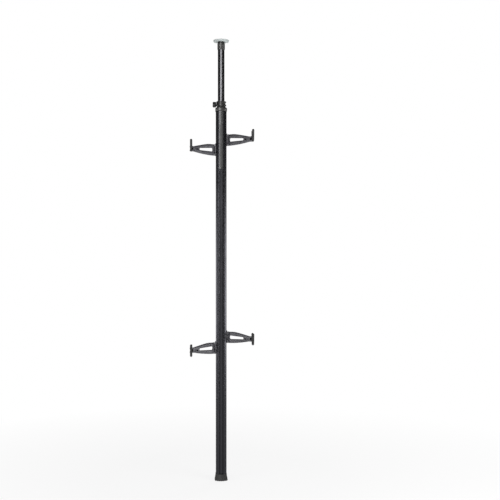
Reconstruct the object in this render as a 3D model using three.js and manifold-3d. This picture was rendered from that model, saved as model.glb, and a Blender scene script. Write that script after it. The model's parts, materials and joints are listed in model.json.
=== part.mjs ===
// Two tier bike rack that is wedged between a floor and a ceiling, in millimetres.
// +Z is up, the front faces -Y, and the origin is the middle of the foot's sole on the floor.
// Four arms ride in T-slots along the pole's sides, and each carries a cradle for a top tube.

import * as THREE from 'three';
import { mergeVertices } from 'three/addons/utils/BufferGeometryUtils.js';
import Module from 'manifold-3d';

const wasm = await Module();
wasm.setup();

// Clearances, and the number of steps that curves are cut into
const GAP = 0.3;
const WELD = 0.0005;
const OVERRUN = 2;
const ROUND_STEPS = 24;
const BARREL_STEPS = 12;
const SCREW_STEPS = 8;
const HEXAGON_STEPS = 6;
const CORNER_STEPS = 3;
const FRONT_STEPS = 10;
const STRIP_STEPS = 6;
const EAR_STEPS = 7;
const CURVE_STEPS = 5;
const EDGE_STEPS = 3;
const DOME_STEPS = 4;

// The rack as it is set up: its full height, how far the tube stands out of the pole, the upper
// arms below the pole's top, the lower arms above the floor, and each left arm below its right one
const RACK_HEIGHT = 2253;
const TUBE_RISE = 325;
const UPPER_ARM_DROP = 160;
const UPPER_STAGGER = 51;
const LOWER_RIGHT_HEIGHT = 733;
const LOWER_STAGGER = 55;

// Telescoping tube with its guide plug and top bush
const TUBE_LENGTH = 1303;
const TUBE_RADIUS = 17;
const TUBE_WALL = 1.8;
const PLUG_SPIGOT = 26;
const PLUG_FLANGE = 5;
const PLUG_BORE_RADIUS = 9;
const BUSH_LENGTH = 36;
const BUSH_FLANGE = 2.5;

// Extruded pole: walls round the tube's bore, a convex front, flat sides and a flat back
const POLE_BORE_CLEARANCE = 0.6;
const POLE_SIDE_WALL = 3.4;
const POLE_FRONT_WALL = 4.2;
const POLE_BACK_WALL = 9.4;
const POLE_FRONT_RADIUS = 40;
const POLE_CORNER_RADIUS = 6;
const PORT_RADIUS = 2.6;
const PORT_INSET = 7;
const GROOVE_MOUTH_WIDTH = 21;
const GROOVE_UNDERCUT = 1.5;
const GROOVE_LIP = 3.3;
const GROOVE_DEPTH = 7.2;
const SLOT_OFFSET = 8;
const SLOT_MOUTH_WIDTH = 8.4;
const SLOT_CHAMBER_WIDTH = 14.4;
const SLOT_LIP = 2.2;
const SLOT_DEPTH = 6.2;

// Snap-in strip that closes the upper end of the front groove
const STRIP_LENGTH = 296;
const STRIP_THICKNESS = 2.4;
const STRIP_LEG = 1.5;
const STRIP_LEG_DEPTH = 2.2;

// Rubber foot
const FOOT_HEIGHT = 34;
const FOOT_SOLE = 6;
const FOOT_FLARE = 5.6;
const FOOT_LIP = 1.2;
const FOOT_EDGE = 1.6;
const TREAD_WIDTH = 3;
const TREAD_DEPTH = 1.5;
const TREAD_PITCH = 9;
const TREAD_COUNT = 3;

// Clamp collar on top of the pole
const COLLAR_HEIGHT = 37;
const COLLAR_SKIRT = 14;
const COLLAR_WALL = 2.5;
const COLLAR_SHOULDER = 8;
const COLLAR_NECK_WALL = 4.65;
const COLLAR_RIB = 4;
const COLLAR_LOWER_RIB_RISE = 9.5;
const COLLAR_LOWER_RIB_HEIGHT = 13;
const COLLAR_UPPER_RIB_HEIGHT = 9.5;
const COLLAR_BORE_CLEARANCE = 0.35;
const COLLAR_SCREW_DROP = 5;
const COLLAR_SCREW_RADIUS = 2;
const COLLAR_SCREW_HEAD_RADIUS = 3.8;
const COLLAR_SCREW_HEAD = 2;
const COLLAR_SCREW_SOCKET_RADIUS = 1.6;

// Knob that clamps the tube, on the left of the collar
const KNOB_RISE = 20;
const KNOB_RADIUS = 14.5;
const KNOB_LENGTH = 17.5;
const KNOB_EDGE = 3;
const KNOB_FLUTE_RADIUS = 2.6;
const KNOB_FLUTES = 8;
const KNOB_BOSS_RADIUS = 7.5;
const CLAMP_SCREW_RADIUS = 4;
const CLAMP_PAD_LENGTH = 3;

// Ceiling jack: a fluted collar turns on the tube's top and lifts the stem
const STEM_RADIUS = 10;
const STEM_LENGTH = 78;
const ADJUSTER_WALL = 1.9;
const ADJUSTER_SKIRT = 24;
const ADJUSTER_WEB = 5.9;
const ADJUSTER_BEVEL = 3;
const ADJUSTER_FLUTES = 12;
const ADJUSTER_FLUTE_RADIUS = 1.6;
const HUB_SEAT = 0.5;
const HUB_HEIGHT = 7;
const HUB_SHOULDER = 6.6;
const HUB_SPIGOT_WALL = 1.7;
const HUB_SPIGOT = 4;
const PAD_RADIUS = 40;
const PAD_THICKNESS = 8.2;
const PAD_RIM = 2.4;
const PAD_DISH = 2;
const PAD_GROOVE_DEPTH = 0.8;
const PAD_GROOVE_WIDTH = 2;

// Bracket that rides on the pole's side and carries the arm's hinge
const HINGE_CLEARANCE = 0.4;
const HINGE_FORWARD = 7;
const BRACKET_PLATE = 4;
const BRACKET_HEIGHT = 62;
const BRACKET_FRONT = 15.5;
const BRACKET_BACK = 16.5;
const BRACKET_CORNER = 5;
const EAR_HEIGHT = 8;
const EAR_RADIUS = 6.4;
const EAR_TOP = 25;
const EAR_BOTTOM = 30.5;
const PIN_RADIUS = 2.9;
const PIN_HEAD_RADIUS = 4.4;
const PIN_HEAD = 2;
const SHOE_LENGTH = 56;
const SHOE_SCREW_SPACING = 26;
const SHOE_SCREW_RADIUS = 2.4;
const SHOE_SCREW_HEAD_RADIUS = 4.6;
const SHOE_SCREW_HEAD = 2.9;
const SHOE_SCREW_SOCKET_RADIUS = 1.8;

// Moulded windowed arm, measured along the arm from its hinge
const ARM_SPREAD = THREE.MathUtils.degToRad(33);
const ARM_THICKNESS = 16;
const ARM_EDGE = 5.5;
const ARM_BARREL_RADIUS = 5.6;
const ARM_ROOT_CLEARANCE = 1.1;
const ARM_ROOT_TOP = 26.5;
const ARM_ROOT_BOTTOM = 31;
const ARM_CREST = 27;
const ARM_CREST_REACH = 26;
const ARM_TIP_TOP = 8.5;
const ARM_TIP_BOTTOM = 17;
const ARM_TIP_SETBACK = 11.5;
const ARM_UNDERSIDE_BULGE = 5;
const WINDOW_ROOT_WALL = 1.4;
const WINDOW_SETBACK = 16;
const WINDOW_HALF_HEIGHT = 9.4;
const WINDOW_DROP = 1.2;
const WINDOW_TIP_HALF_HEIGHT = 5.3;
const WINDOW_TIP_DROP = 3.1;
const WINDOW_CORNER = 6;
const WINDOW_TIP_FLAT = 0.7;
const BOSS_SETBACK = 31.5;
const BOSS_DROP = 6;
const BOSS_RADIUS = 8.5;
const BOSS_RISE = 1.2;
const LOCK_SCREW_RADIUS = 2.4;
const LOCK_SCREW_HEAD_RADIUS = 4.2;
const LOCK_SCREW_HEAD = 3;
const LOCK_SCREW_LENGTH = 12;
const LOCK_SCREW_SOCKET_RADIUS = 1.9;

// Hook: a bent rod with a stem and a hinge barrel, under a rubber sleeve
const HOOK_REACH = 137.5;
const KNUCKLE_RADIUS = 7.6;
const KNUCKLE_SLOT = 11.6;
const HOOK_BARREL_RADIUS = 6;
const HOOK_PIN_RADIUS = 2.4;
const HOOK_PIN_HEAD_RADIUS = 4;
const HOOK_PIN_HEAD = 1.8;
const CRADLE_ROD_RADIUS = 4;
const SLEEVE_CLEARANCE = 0.45;
const SLEEVE_WALL = 1.55;
const CRADLE_BOTTOM_DROP = 4;
const CRADLE_BOTTOM_RADIUS = 14;
const REAR_PRONG_REACH = 51;
const REAR_PRONG_SPREAD = 28;
const REAR_PRONG_RISE = 30;
const FRONT_PRONG_SPREAD = 22;
const FRONT_PRONG_RISE = 31.5;
const CRADLE_STEPS = 15;
const SLEEVE_SIDES = 8;
const ROD_SIDES = 6;
const STEM_WIDTH = 7;
const STEM_HEIGHT = 9;
const STEM_END_HEIGHT = 14;

// Heights that follow from the ceiling downward
const PAD_BOTTOM = RACK_HEIGHT - PAD_THICKNESS;
const HUB_TOP = PAD_BOTTOM - GAP;
const HUB_BOTTOM = HUB_TOP - HUB_HEIGHT;
const ADJUSTER_TOP = HUB_BOTTOM - HUB_SEAT;
const ADJUSTER_WEB_BOTTOM = ADJUSTER_TOP - ADJUSTER_WEB;
const TUBE_TOP = ADJUSTER_WEB_BOTTOM - BUSH_FLANGE - 2 * GAP;
const TUBE_BOTTOM = TUBE_TOP - TUBE_LENGTH;
const ADJUSTER_BOTTOM = TUBE_TOP - ADJUSTER_SKIRT;
const POLE_TOP = TUBE_TOP - TUBE_RISE;
const COLLAR_TOP = POLE_TOP + COLLAR_HEIGHT;
const KNOB_HEIGHT = POLE_TOP + KNOB_RISE;
const UPPER_RIGHT_HEIGHT = POLE_TOP - UPPER_ARM_DROP;
const UPPER_LEFT_HEIGHT = UPPER_RIGHT_HEIGHT - UPPER_STAGGER;
const LOWER_LEFT_HEIGHT = LOWER_RIGHT_HEIGHT - LOWER_STAGGER;

// The pole's section, from its bore outward, and what goes round the tube
const POLE_BORE_RADIUS = TUBE_RADIUS + POLE_BORE_CLEARANCE;
const SLOT_FLOOR_X = POLE_BORE_RADIUS + POLE_SIDE_WALL;
const SIDE = SLOT_FLOOR_X + SLOT_DEPTH;
const SLOT_LIP_X = SIDE - SLOT_LIP;
const POLE_BACK_DEPTH = POLE_BORE_RADIUS + POLE_BACK_WALL;
const GROOVE_FLOOR_DEPTH = POLE_BORE_RADIUS + POLE_FRONT_WALL;
const POLE_FRONT_DEPTH = GROOVE_FLOOR_DEPTH + GROOVE_DEPTH;
const GROOVE_LIP_DEPTH = POLE_FRONT_DEPTH - GROOVE_LIP;
const GROOVE_CHAMBER_WIDTH = GROOVE_MOUTH_WIDTH + 2 * GROOVE_UNDERCUT;
const COLLAR_BORE_RADIUS = TUBE_RADIUS + COLLAR_BORE_CLEARANCE;
const COLLAR_RADIUS = COLLAR_BORE_RADIUS + COLLAR_NECK_WALL;
const COLLAR_RIB_RADIUS = COLLAR_RADIUS + COLLAR_RIB;
const ADJUSTER_RADIUS = TUBE_RADIUS + GAP + ADJUSTER_WALL;
const HUB_SPIGOT_RADIUS = STEM_RADIUS + GAP + HUB_SPIGOT_WALL;
const HUB_RADIUS = HUB_SPIGOT_RADIUS + HUB_SHOULDER;

// The bracket's plate against the pole's side, the hinge beside it, and places along the arm
const PLATE_X = SIDE + GAP;
const PLATE_OUTER_X = PLATE_X + BRACKET_PLATE;
const HINGE_REACH = PLATE_OUTER_X + ARM_BARREL_RADIUS + HINGE_CLEARANCE;
const ARM_ROOT = EAR_RADIUS + ARM_ROOT_CLEARANCE;
const ARM_TIP_REACH = HOOK_REACH - ARM_TIP_SETBACK;
const BOSS_REACH = HOOK_REACH - BOSS_SETBACK;
const WINDOW_START = ARM_BARREL_RADIUS + WINDOW_ROOT_WALL;
const WINDOW_END = BOSS_REACH - WINDOW_SETBACK;
const WINDOW_TIP_CORNER = WINDOW_TIP_HALF_HEIGHT - WINDOW_TIP_FLAT;
const SLEEVE_BORE_RADIUS = CRADLE_ROD_RADIUS + SLEEVE_CLEARANCE;
const SLEEVE_RADIUS = SLEEVE_BORE_RADIUS + SLEEVE_WALL;
const CRADLE_BOTTOM_REACH = REAR_PRONG_REACH + REAR_PRONG_SPREAD;
const FRONT_PRONG_REACH = CRADLE_BOTTOM_REACH + FRONT_PRONG_SPREAD;

// Helpers: outlines become closed solids, which are joined, cut and placed

function signedVolume(positions, corners) {
  const a = new THREE.Vector3();
  const b = new THREE.Vector3();
  const c = new THREE.Vector3();
  let sum = 0;
  for (let i = 0; i < corners.length; i += 3) {
    a.fromArray(positions, 3 * corners[i]);
    b.fromArray(positions, 3 * corners[i + 1]);
    c.fromArray(positions, 3 * corners[i + 2]);
    sum += a.dot(b.cross(c));
  }
  return sum / 6;
}

function solid(geometry) {
  const bare = geometry.clone();
  bare.deleteAttribute('normal');
  bare.deleteAttribute('uv');
  const merged = mergeVertices(bare, WELD);
  const positions = merged.attributes.position.array;
  const index = merged.index.array;
  const corners = [];
  for (let i = 0; i < index.length; i += 3) {
    const [a, b, c] = [index[i], index[i + 1], index[i + 2]];
    if (a !== b && b !== c && c !== a) corners.push(a, b, c);
  }
  if (signedVolume(positions, corners) < 0) corners.reverse();
  return new wasm.Manifold(
    new wasm.Mesh({ numProp: 3, vertProperties: positions, triVerts: Uint32Array.from(corners) }),
  );
}

function geometryOf(body) {
  const mesh = body.getMesh();
  const geometry = new THREE.BufferGeometry();
  geometry.setAttribute('position', new THREE.BufferAttribute(mesh.vertProperties, 3));
  geometry.setIndex(new THREE.BufferAttribute(mesh.triVerts, 1));
  geometry.computeVertexNormals();
  return geometry;
}

// Joins every geometry of the first list, then cuts away every geometry of the second
function carve(parts, tools = []) {
  let body = solid(parts[0]);
  for (const part of parts.slice(1)) body = body.add(solid(part));
  for (const tool of tools) body = body.subtract(solid(tool));
  return geometryOf(body);
}

// Mirrors a geometry across the pole's middle plane
function mirrored(geometry) {
  return geometry.clone().applyMatrix4(new THREE.Matrix4().makeScale(-1, 1, 1));
}

function arcPoints(x, y, radius, start, end, steps) {
  return Array.from({ length: steps + 1 }, (_, i) => {
    const angle = start + ((end - start) * i) / steps;
    return new THREE.Vector2(x + radius * Math.cos(angle), y + radius * Math.sin(angle));
  });
}

function circlePoints(x, y, radius, steps) {
  return arcPoints(x, y, radius, 0, 2 * Math.PI, steps).slice(0, steps);
}

// A closed outline whose corners are rounded, one radius for each corner, and which can be grown
function roundedPoints(corners, radii, steps, grow = 0) {
  return corners.flatMap((corner, i) => {
    const before = corners[(i + corners.length - 1) % corners.length];
    const after = corners[(i + 1) % corners.length];
    const toBefore = before.clone().sub(corner).normalize();
    const toAfter = after.clone().sub(corner).normalize();
    const half = Math.acos(toBefore.dot(toAfter)) / 2;
    const middle = toBefore.clone().add(toAfter).normalize();
    const centre = corner.clone().addScaledVector(middle, radii[i] / Math.sin(half));
    const first = corner.clone().addScaledVector(toBefore, radii[i] / Math.tan(half)).sub(centre);
    const last = corner.clone().addScaledVector(toAfter, radii[i] / Math.tan(half)).sub(centre);
    const sweep = Math.atan2(first.cross(last), first.dot(last));
    return Array.from({ length: steps + 1 }, (_, k) => {
      const spoke = first.clone().rotateAround(new THREE.Vector2(), (sweep * k) / steps);
      return spoke.setLength(radii[i] + grow).add(centre);
    });
  });
}

// Upright prism of an outline, from one height to another
function prism(points, from, to, holes = []) {
  const shape = new THREE.Shape(points);
  shape.holes = holes.map((hole) => new THREE.Path(hole));
  const geometry = new THREE.ExtrudeGeometry(shape, { depth: to - from, bevelEnabled: false });
  return geometry.translate(0, 0, from);
}

function rectangle(left, right, front, back) {
  return [
    new THREE.Vector2(left, front),
    new THREE.Vector2(right, front),
    new THREE.Vector2(right, back),
    new THREE.Vector2(left, back),
  ];
}

// Solid turned about the upright axis from pairs of radius and height
function turned(profile, steps = ROUND_STEPS) {
  const points = profile.map(([radius, height]) => new THREE.Vector2(radius, height));
  return new THREE.LatheGeometry(points, steps).rotateX(Math.PI / 2);
}

// A turned ring with a bore: the profile closes on itself
function turnedRing(profile, steps = ROUND_STEPS) {
  return turned([...profile, profile[0]], steps);
}

function rod(radius, from, to, steps = ROUND_STEPS) {
  return turned([[0, from], [radius, from], [radius, to], [0, to]], steps);
}

// Closed skin through outlines that have the same number of points, each at its own height
function loft(sections) {
  const count = sections[0].points.length;
  const positions = sections.flatMap(({ points, height }) => points.flatMap((p) => [p.x, p.y, height]));
  const corners = [];
  for (let s = 0; s + 1 < sections.length; s += 1) {
    for (let i = 0; i < count; i += 1) {
      const a = s * count + i;
      const b = s * count + ((i + 1) % count);
      corners.push(a, b, b + count, a, b + count, a + count);
    }
  }
  const cap = THREE.ShapeUtils.triangulateShape(sections[0].points, []);
  const top = (sections.length - 1) * count;
  for (const [a, b, c] of cap) {
    corners.push(c, b, a);
    corners.push(top + a, top + b, top + c);
  }
  const geometry = new THREE.BufferGeometry();
  geometry.setAttribute('position', new THREE.Float32BufferAttribute(positions, 3));
  geometry.setIndex(corners);
  return geometry;
}

// Shares of a screw's or pin's head where its edge turns in, and of the crown it turns in to
const SCREW_EDGE_SHARE = 0.5;
const SCREW_CROWN_SHARE = 0.75;
const SOCKET_FLOOR_SHARE = 0.35;
const PIN_EDGE_SHARE = 0.6;
const PIN_CROWN_SHARE = 0.7;

// Screw along +Z with its head standing on z = 0 and a hexagonal socket in the head
function socketScrew({ headRadius, head, radius, length, socketRadius }) {
  const profile = [
    [0, -length],
    [radius, -length],
    [radius, 0],
    [headRadius, 0],
    [headRadius, head * SCREW_EDGE_SHARE],
    [headRadius * SCREW_CROWN_SHARE, head],
    [0, head],
  ];
  const socket = rod(socketRadius, head * SOCKET_FLOOR_SHARE, head + OVERRUN, HEXAGON_STEPS);
  return carve([turned(profile, SCREW_STEPS)], [socket]);
}

function material(color, roughness, metalness) {
  return new THREE.MeshStandardMaterial({ color, roughness, metalness, flatShading: true });
}

const ANODISED = () => material('#1c1c1f', 0.3, 0.85);
const BLACK_PLASTIC = () => material('#2b2b2d', 0.55, 0);
const DARK_PLASTIC = () => material('#3d3d40', 0.6, 0);
const RUBBER = () => material('#1a1a1a', 0.85, 0);
const STEEL = () => material('#a8aaad', 0.35, 1);
const PALE_RUBBER = () => material('#b9c6c5', 0.6, 0);

function place(name, geometry, look, position = [0, 0, 0]) {
  const mesh = new THREE.Mesh(geometry, look);
  mesh.name = name;
  mesh.position.set(...position);
  return mesh;
}

// The pole's outline, pushed outward by an offset. Offset outlines have the same number of points.
function poleOutline(offset = 0) {
  const half = SIDE + offset;
  const back = POLE_BACK_DEPTH + offset;
  const front = POLE_FRONT_RADIUS + offset;
  const corner = POLE_CORNER_RADIUS + offset;
  const centreY = POLE_FRONT_RADIUS - POLE_FRONT_DEPTH;
  const cornerX = half - corner;
  const cornerY = centreY - Math.sqrt((front - corner) ** 2 - cornerX ** 2);
  const meet = Math.atan2(cornerY - centreY, cornerX);
  return [
    ...arcPoints(0, centreY, front, -Math.PI - meet, meet, FRONT_STEPS),
    ...arcPoints(cornerX, cornerY, corner, meet, 0, CORNER_STEPS).slice(1),
    ...arcPoints(cornerX, back - corner, corner, 0, Math.PI / 2, CORNER_STEPS),
    ...arcPoints(-cornerX, back - corner, corner, Math.PI / 2, Math.PI, CORNER_STEPS),
    ...arcPoints(-cornerX, cornerY, corner, -Math.PI, -Math.PI - meet, CORNER_STEPS).slice(0, -1),
  ];
}

function frontSurface(x) {
  const centreY = POLE_FRONT_RADIUS - POLE_FRONT_DEPTH;
  return centreY - Math.sqrt(POLE_FRONT_RADIUS ** 2 - x ** 2);
}

function lowerPole() {
  const portX = SIDE - PORT_INSET;
  const portBack = POLE_BACK_DEPTH - PORT_INSET;
  const portFront = POLE_FRONT_DEPTH / 2;
  const ports = [[portX, portBack], [-portX, portBack], [portX, -portFront], [-portX, -portFront]];
  const holes = [
    circlePoints(0, 0, POLE_BORE_RADIUS, ROUND_STEPS),
    ...ports.map(([x, y]) => circlePoints(x, y, PORT_RADIUS, SCREW_STEPS)),
  ];
  const bottom = FOOT_SOLE + GAP;
  const blank = prism(poleOutline(), bottom, POLE_TOP, holes);
  const from = bottom - OVERRUN;
  const to = POLE_TOP + OVERRUN;
  const mouth = SLOT_MOUTH_WIDTH / 2;
  const chamber = SLOT_CHAMBER_WIDTH / 2;
  const slotMouth = prism(
    rectangle(SLOT_LIP_X - SLOT_LIP / 2, SIDE + OVERRUN, SLOT_OFFSET - mouth, SLOT_OFFSET + mouth), from, to,
  );
  const slotChamber = prism(
    rectangle(SLOT_FLOOR_X, SLOT_LIP_X, SLOT_OFFSET - chamber, SLOT_OFFSET + chamber), from, to,
  );
  const grooveMouth = prism(
    rectangle(-GROOVE_MOUTH_WIDTH / 2, GROOVE_MOUTH_WIDTH / 2,
      -POLE_FRONT_DEPTH - OVERRUN, -(GROOVE_LIP_DEPTH + GROOVE_FLOOR_DEPTH) / 2),
    from, to,
  );
  const grooveChamber = prism(
    rectangle(-GROOVE_CHAMBER_WIDTH / 2, GROOVE_CHAMBER_WIDTH / 2, -GROOVE_LIP_DEPTH, -GROOVE_FLOOR_DEPTH),
    from, to,
  );
  const screwHole = backScrewHole(POLE_BORE_RADIUS, POLE_BACK_DEPTH + OVERRUN);
  const tools = [slotMouth, slotChamber, mirrored(slotMouth), mirrored(slotChamber)];
  return carve([blank], [...tools, grooveMouth, grooveChamber, screwHole]);
}

// Hole for the collar's screw through the back of the skirt and of the pole
function backScrewHole(from, to) {
  const hole = rod(COLLAR_SCREW_RADIUS + GAP, from - OVERRUN, to + OVERRUN, SCREW_STEPS);
  return hole.rotateX(-Math.PI / 2).translate(0, 0, POLE_TOP - COLLAR_SCREW_DROP);
}

function coverStrip() {
  const half = GROOVE_MOUTH_WIDTH / 2 - GAP;
  const barbTop = -GROOVE_LIP_DEPTH + GAP;
  const legEnd = barbTop + STRIP_LEG_DEPTH;
  const inner = half - STRIP_LEG;
  const underside = -POLE_FRONT_DEPTH + STRIP_THICKNESS;
  const front = Array.from({ length: STRIP_STEPS + 1 }, (_, i) => {
    const x = -half + (2 * half * i) / STRIP_STEPS;
    return new THREE.Vector2(x, frontSurface(x));
  });
  const rightLeg = [
    [half, barbTop],
    [half + GROOVE_UNDERCUT - GAP, barbTop],
    [half - STRIP_LEG / 2, legEnd],
    [inner, legEnd],
    [inner, underside],
  ];
  const right = rightLeg.map(([x, y]) => new THREE.Vector2(x, y));
  const left = rightLeg.map(([x, y]) => new THREE.Vector2(-x, y)).reverse();
  const top = POLE_TOP - COLLAR_SKIRT - GAP;
  return prism([...front, ...right, ...left], top - STRIP_LENGTH, top);
}

// Flare of the foot: shares of its height and, at each, of the flare between the lip and the sole
const FOOT_RISE_SHARES = [0.12, 0.42, 0.78, 1];
const FOOT_FLARE_SHARES = [1, 0.5, 0.12, 0];

function floorFoot() {
  const rings = FOOT_RISE_SHARES.map((share, i) => ({
    height: FOOT_HEIGHT * share,
    points: poleOutline(FOOT_LIP + (FOOT_FLARE - FOOT_LIP) * FOOT_FLARE_SHARES[i]),
  }));
  const body = loft([
    { height: 0, points: poleOutline(FOOT_FLARE - FOOT_EDGE) },
    { height: FOOT_EDGE, points: poleOutline(FOOT_FLARE) },
    ...rings,
  ]);
  const pocket = prism(poleOutline(GAP), FOOT_SOLE, FOOT_HEIGHT + OVERRUN);
  const reach = 2 * SIDE;
  const treads = [];
  for (let i = 0; i < TREAD_COUNT; i += 1) {
    const x = TREAD_PITCH * (i + 0.5);
    const groove = prism(rectangle(x, x + TREAD_WIDTH, -reach, reach), -OVERRUN, TREAD_DEPTH);
    treads.push(groove, mirrored(groove));
  }
  return carve([body], [pocket, ...treads]);
}

// Points of a circle that lie in the same directions as the points of the pole's outline
function circleAlong(outline, radius) {
  return outline.map((p) => p.clone().setLength(radius));
}

// Share of a rib's height that its flat rim takes, between two sloping flanks
const RIB_RIM_SHARE = 0.34;

function collarRib(from, height) {
  const flank = (height * (1 - RIB_RIM_SHARE)) / 2;
  const inner = COLLAR_RADIUS - GAP;
  return turned([
    [0, from],
    [inner, from],
    [COLLAR_RIB_RADIUS, from + flank],
    [COLLAR_RIB_RADIUS, from + height - flank],
    [inner, from + height],
    [0, from + height],
  ]);
}

function poleCollar() {
  const outer = poleOutline(COLLAR_WALL);
  const skirtBottom = POLE_TOP - COLLAR_SKIRT;
  const shoulderTop = POLE_TOP + COLLAR_SHOULDER;
  const skirt = loft([
    { height: skirtBottom, points: poleOutline(COLLAR_WALL / 2) },
    { height: skirtBottom + COLLAR_WALL, points: outer },
    { height: POLE_TOP + GAP, points: outer },
    { height: shoulderTop, points: circleAlong(outer, COLLAR_RADIUS) },
  ]);
  const neck = rod(COLLAR_RADIUS, POLE_TOP, COLLAR_TOP);
  const lowerRib = collarRib(POLE_TOP + COLLAR_LOWER_RIB_RISE, COLLAR_LOWER_RIB_HEIGHT);
  const upperRib = collarRib(COLLAR_TOP - COLLAR_UPPER_RIB_HEIGHT, COLLAR_UPPER_RIB_HEIGHT);
  const boss = rod(KNOB_BOSS_RADIUS, COLLAR_RADIUS / 2, COLLAR_RIB_RADIUS - 2 * GAP, BARREL_STEPS)
    .rotateY(-Math.PI / 2)
    .translate(0, 0, KNOB_HEIGHT);
  const pocket = prism(poleOutline(GAP), skirtBottom - OVERRUN, POLE_TOP + GAP);
  const bore = rod(COLLAR_BORE_RADIUS, skirtBottom - OVERRUN, COLLAR_TOP + 2 * OVERRUN);
  const screwBore = rod(CLAMP_SCREW_RADIUS + GAP, 0, COLLAR_RIB_RADIUS + OVERRUN, BARREL_STEPS)
    .rotateY(-Math.PI / 2)
    .translate(0, 0, KNOB_HEIGHT);
  const backHole = backScrewHole(POLE_BACK_DEPTH, POLE_BACK_DEPTH + COLLAR_WALL);
  return carve([skirt, neck, lowerRib, upperRib, boss], [pocket, bore, screwBore, backHole]);
}

function collarScrew() {
  const screw = socketScrew({
    headRadius: COLLAR_SCREW_HEAD_RADIUS,
    head: COLLAR_SCREW_HEAD,
    radius: COLLAR_SCREW_RADIUS,
    length: POLE_BACK_DEPTH - POLE_BORE_RADIUS,
    socketRadius: COLLAR_SCREW_SOCKET_RADIUS,
  });
  return screw.rotateX(-Math.PI / 2);
}

// Knob along -X, fluted round its rim. It starts where the collar's ribs end.
function clampKnob() {
  const body = turned([
    [0, 0],
    [KNOB_RADIUS - KNOB_EDGE, 0],
    [KNOB_RADIUS, KNOB_EDGE],
    [KNOB_RADIUS, KNOB_LENGTH - KNOB_EDGE],
    [KNOB_RADIUS - KNOB_EDGE, KNOB_LENGTH],
    [0, KNOB_LENGTH],
  ]);
  const flutes = [];
  for (let i = 0; i < KNOB_FLUTES; i += 1) {
    const flute = rod(KNOB_FLUTE_RADIUS, -OVERRUN, KNOB_LENGTH + OVERRUN, SCREW_STEPS);
    flute.translate(KNOB_RADIUS + KNOB_FLUTE_RADIUS / 2, 0, 0);
    flutes.push(flute.rotateZ((2 * Math.PI * i) / KNOB_FLUTES));
  }
  const socket = rod(CLAMP_SCREW_RADIUS + GAP, -OVERRUN, KNOB_LENGTH / 2, BARREL_STEPS);
  return carve([body], [...flutes, socket]).rotateY(-Math.PI / 2);
}

function adjusterCollar() {
  const inner = TUBE_RADIUS + GAP;
  const body = turnedRing([
    [inner, ADJUSTER_BOTTOM],
    [ADJUSTER_RADIUS - ADJUSTER_BEVEL / 2, ADJUSTER_BOTTOM],
    [ADJUSTER_RADIUS, ADJUSTER_BOTTOM + ADJUSTER_BEVEL],
    [ADJUSTER_RADIUS, ADJUSTER_TOP - ADJUSTER_BEVEL / 2],
    [ADJUSTER_RADIUS - ADJUSTER_BEVEL / 2, ADJUSTER_TOP],
    [STEM_RADIUS + GAP, ADJUSTER_TOP],
    [STEM_RADIUS + GAP, ADJUSTER_WEB_BOTTOM],
    [inner, ADJUSTER_WEB_BOTTOM],
  ]);
  const flutes = [];
  for (let i = 0; i < ADJUSTER_FLUTES; i += 1) {
    const top = ADJUSTER_TOP - 2 * ADJUSTER_BEVEL;
    const flute = rod(ADJUSTER_FLUTE_RADIUS, ADJUSTER_BOTTOM - OVERRUN, top, HEXAGON_STEPS);
    flute.translate(ADJUSTER_RADIUS + ADJUSTER_FLUTE_RADIUS / 2, 0, 0);
    flutes.push(flute.rotateZ((2 * Math.PI * (i + 0.5)) / ADJUSTER_FLUTES));
  }
  return carve([body], flutes);
}

function upperTube() {
  const inner = TUBE_RADIUS - TUBE_WALL;
  return carve([turnedRing([
    [inner, TUBE_BOTTOM],
    [TUBE_RADIUS, TUBE_BOTTOM],
    [TUBE_RADIUS, TUBE_TOP],
    [inner, TUBE_TOP],
  ])]);
}

function tubeGuidePlug() {
  const spigot = TUBE_RADIUS - TUBE_WALL - GAP;
  const flangeTop = TUBE_BOTTOM - GAP;
  return carve([turnedRing([
    [PLUG_BORE_RADIUS, flangeTop - PLUG_FLANGE],
    [TUBE_RADIUS + GAP, flangeTop - PLUG_FLANGE],
    [TUBE_RADIUS + GAP, flangeTop],
    [spigot, flangeTop],
    [spigot, flangeTop + PLUG_SPIGOT],
    [PLUG_BORE_RADIUS, flangeTop + PLUG_SPIGOT],
  ])]);
}

function tubeTopBush() {
  const spigot = TUBE_RADIUS - TUBE_WALL - GAP;
  const flangeBottom = TUBE_TOP + GAP;
  return carve([turnedRing([
    [STEM_RADIUS + GAP, flangeBottom - BUSH_LENGTH],
    [spigot, flangeBottom - BUSH_LENGTH],
    [spigot, flangeBottom],
    [TUBE_RADIUS, flangeBottom],
    [TUBE_RADIUS, flangeBottom + BUSH_FLANGE],
    [STEM_RADIUS + GAP, flangeBottom + BUSH_FLANGE],
  ])]);
}

function jackStem() {
  const top = HUB_TOP + HUB_SPIGOT / 2 - GAP;
  return carve([rod(STEM_RADIUS, top - STEM_LENGTH, top)]);
}

function padHolder() {
  const body = turned([
    [0, HUB_BOTTOM],
    [HUB_RADIUS - HUB_HEIGHT / 4, HUB_BOTTOM],
    [HUB_RADIUS, HUB_BOTTOM + HUB_HEIGHT / 4],
    [HUB_RADIUS, HUB_TOP],
    [HUB_SPIGOT_RADIUS, HUB_TOP],
    [HUB_SPIGOT_RADIUS, HUB_TOP + HUB_SPIGOT],
    [0, HUB_TOP + HUB_SPIGOT],
  ]);
  const socket = rod(STEM_RADIUS + GAP, HUB_BOTTOM - OVERRUN, HUB_TOP + HUB_SPIGOT / 2);
  return carve([body], [socket]);
}

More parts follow.
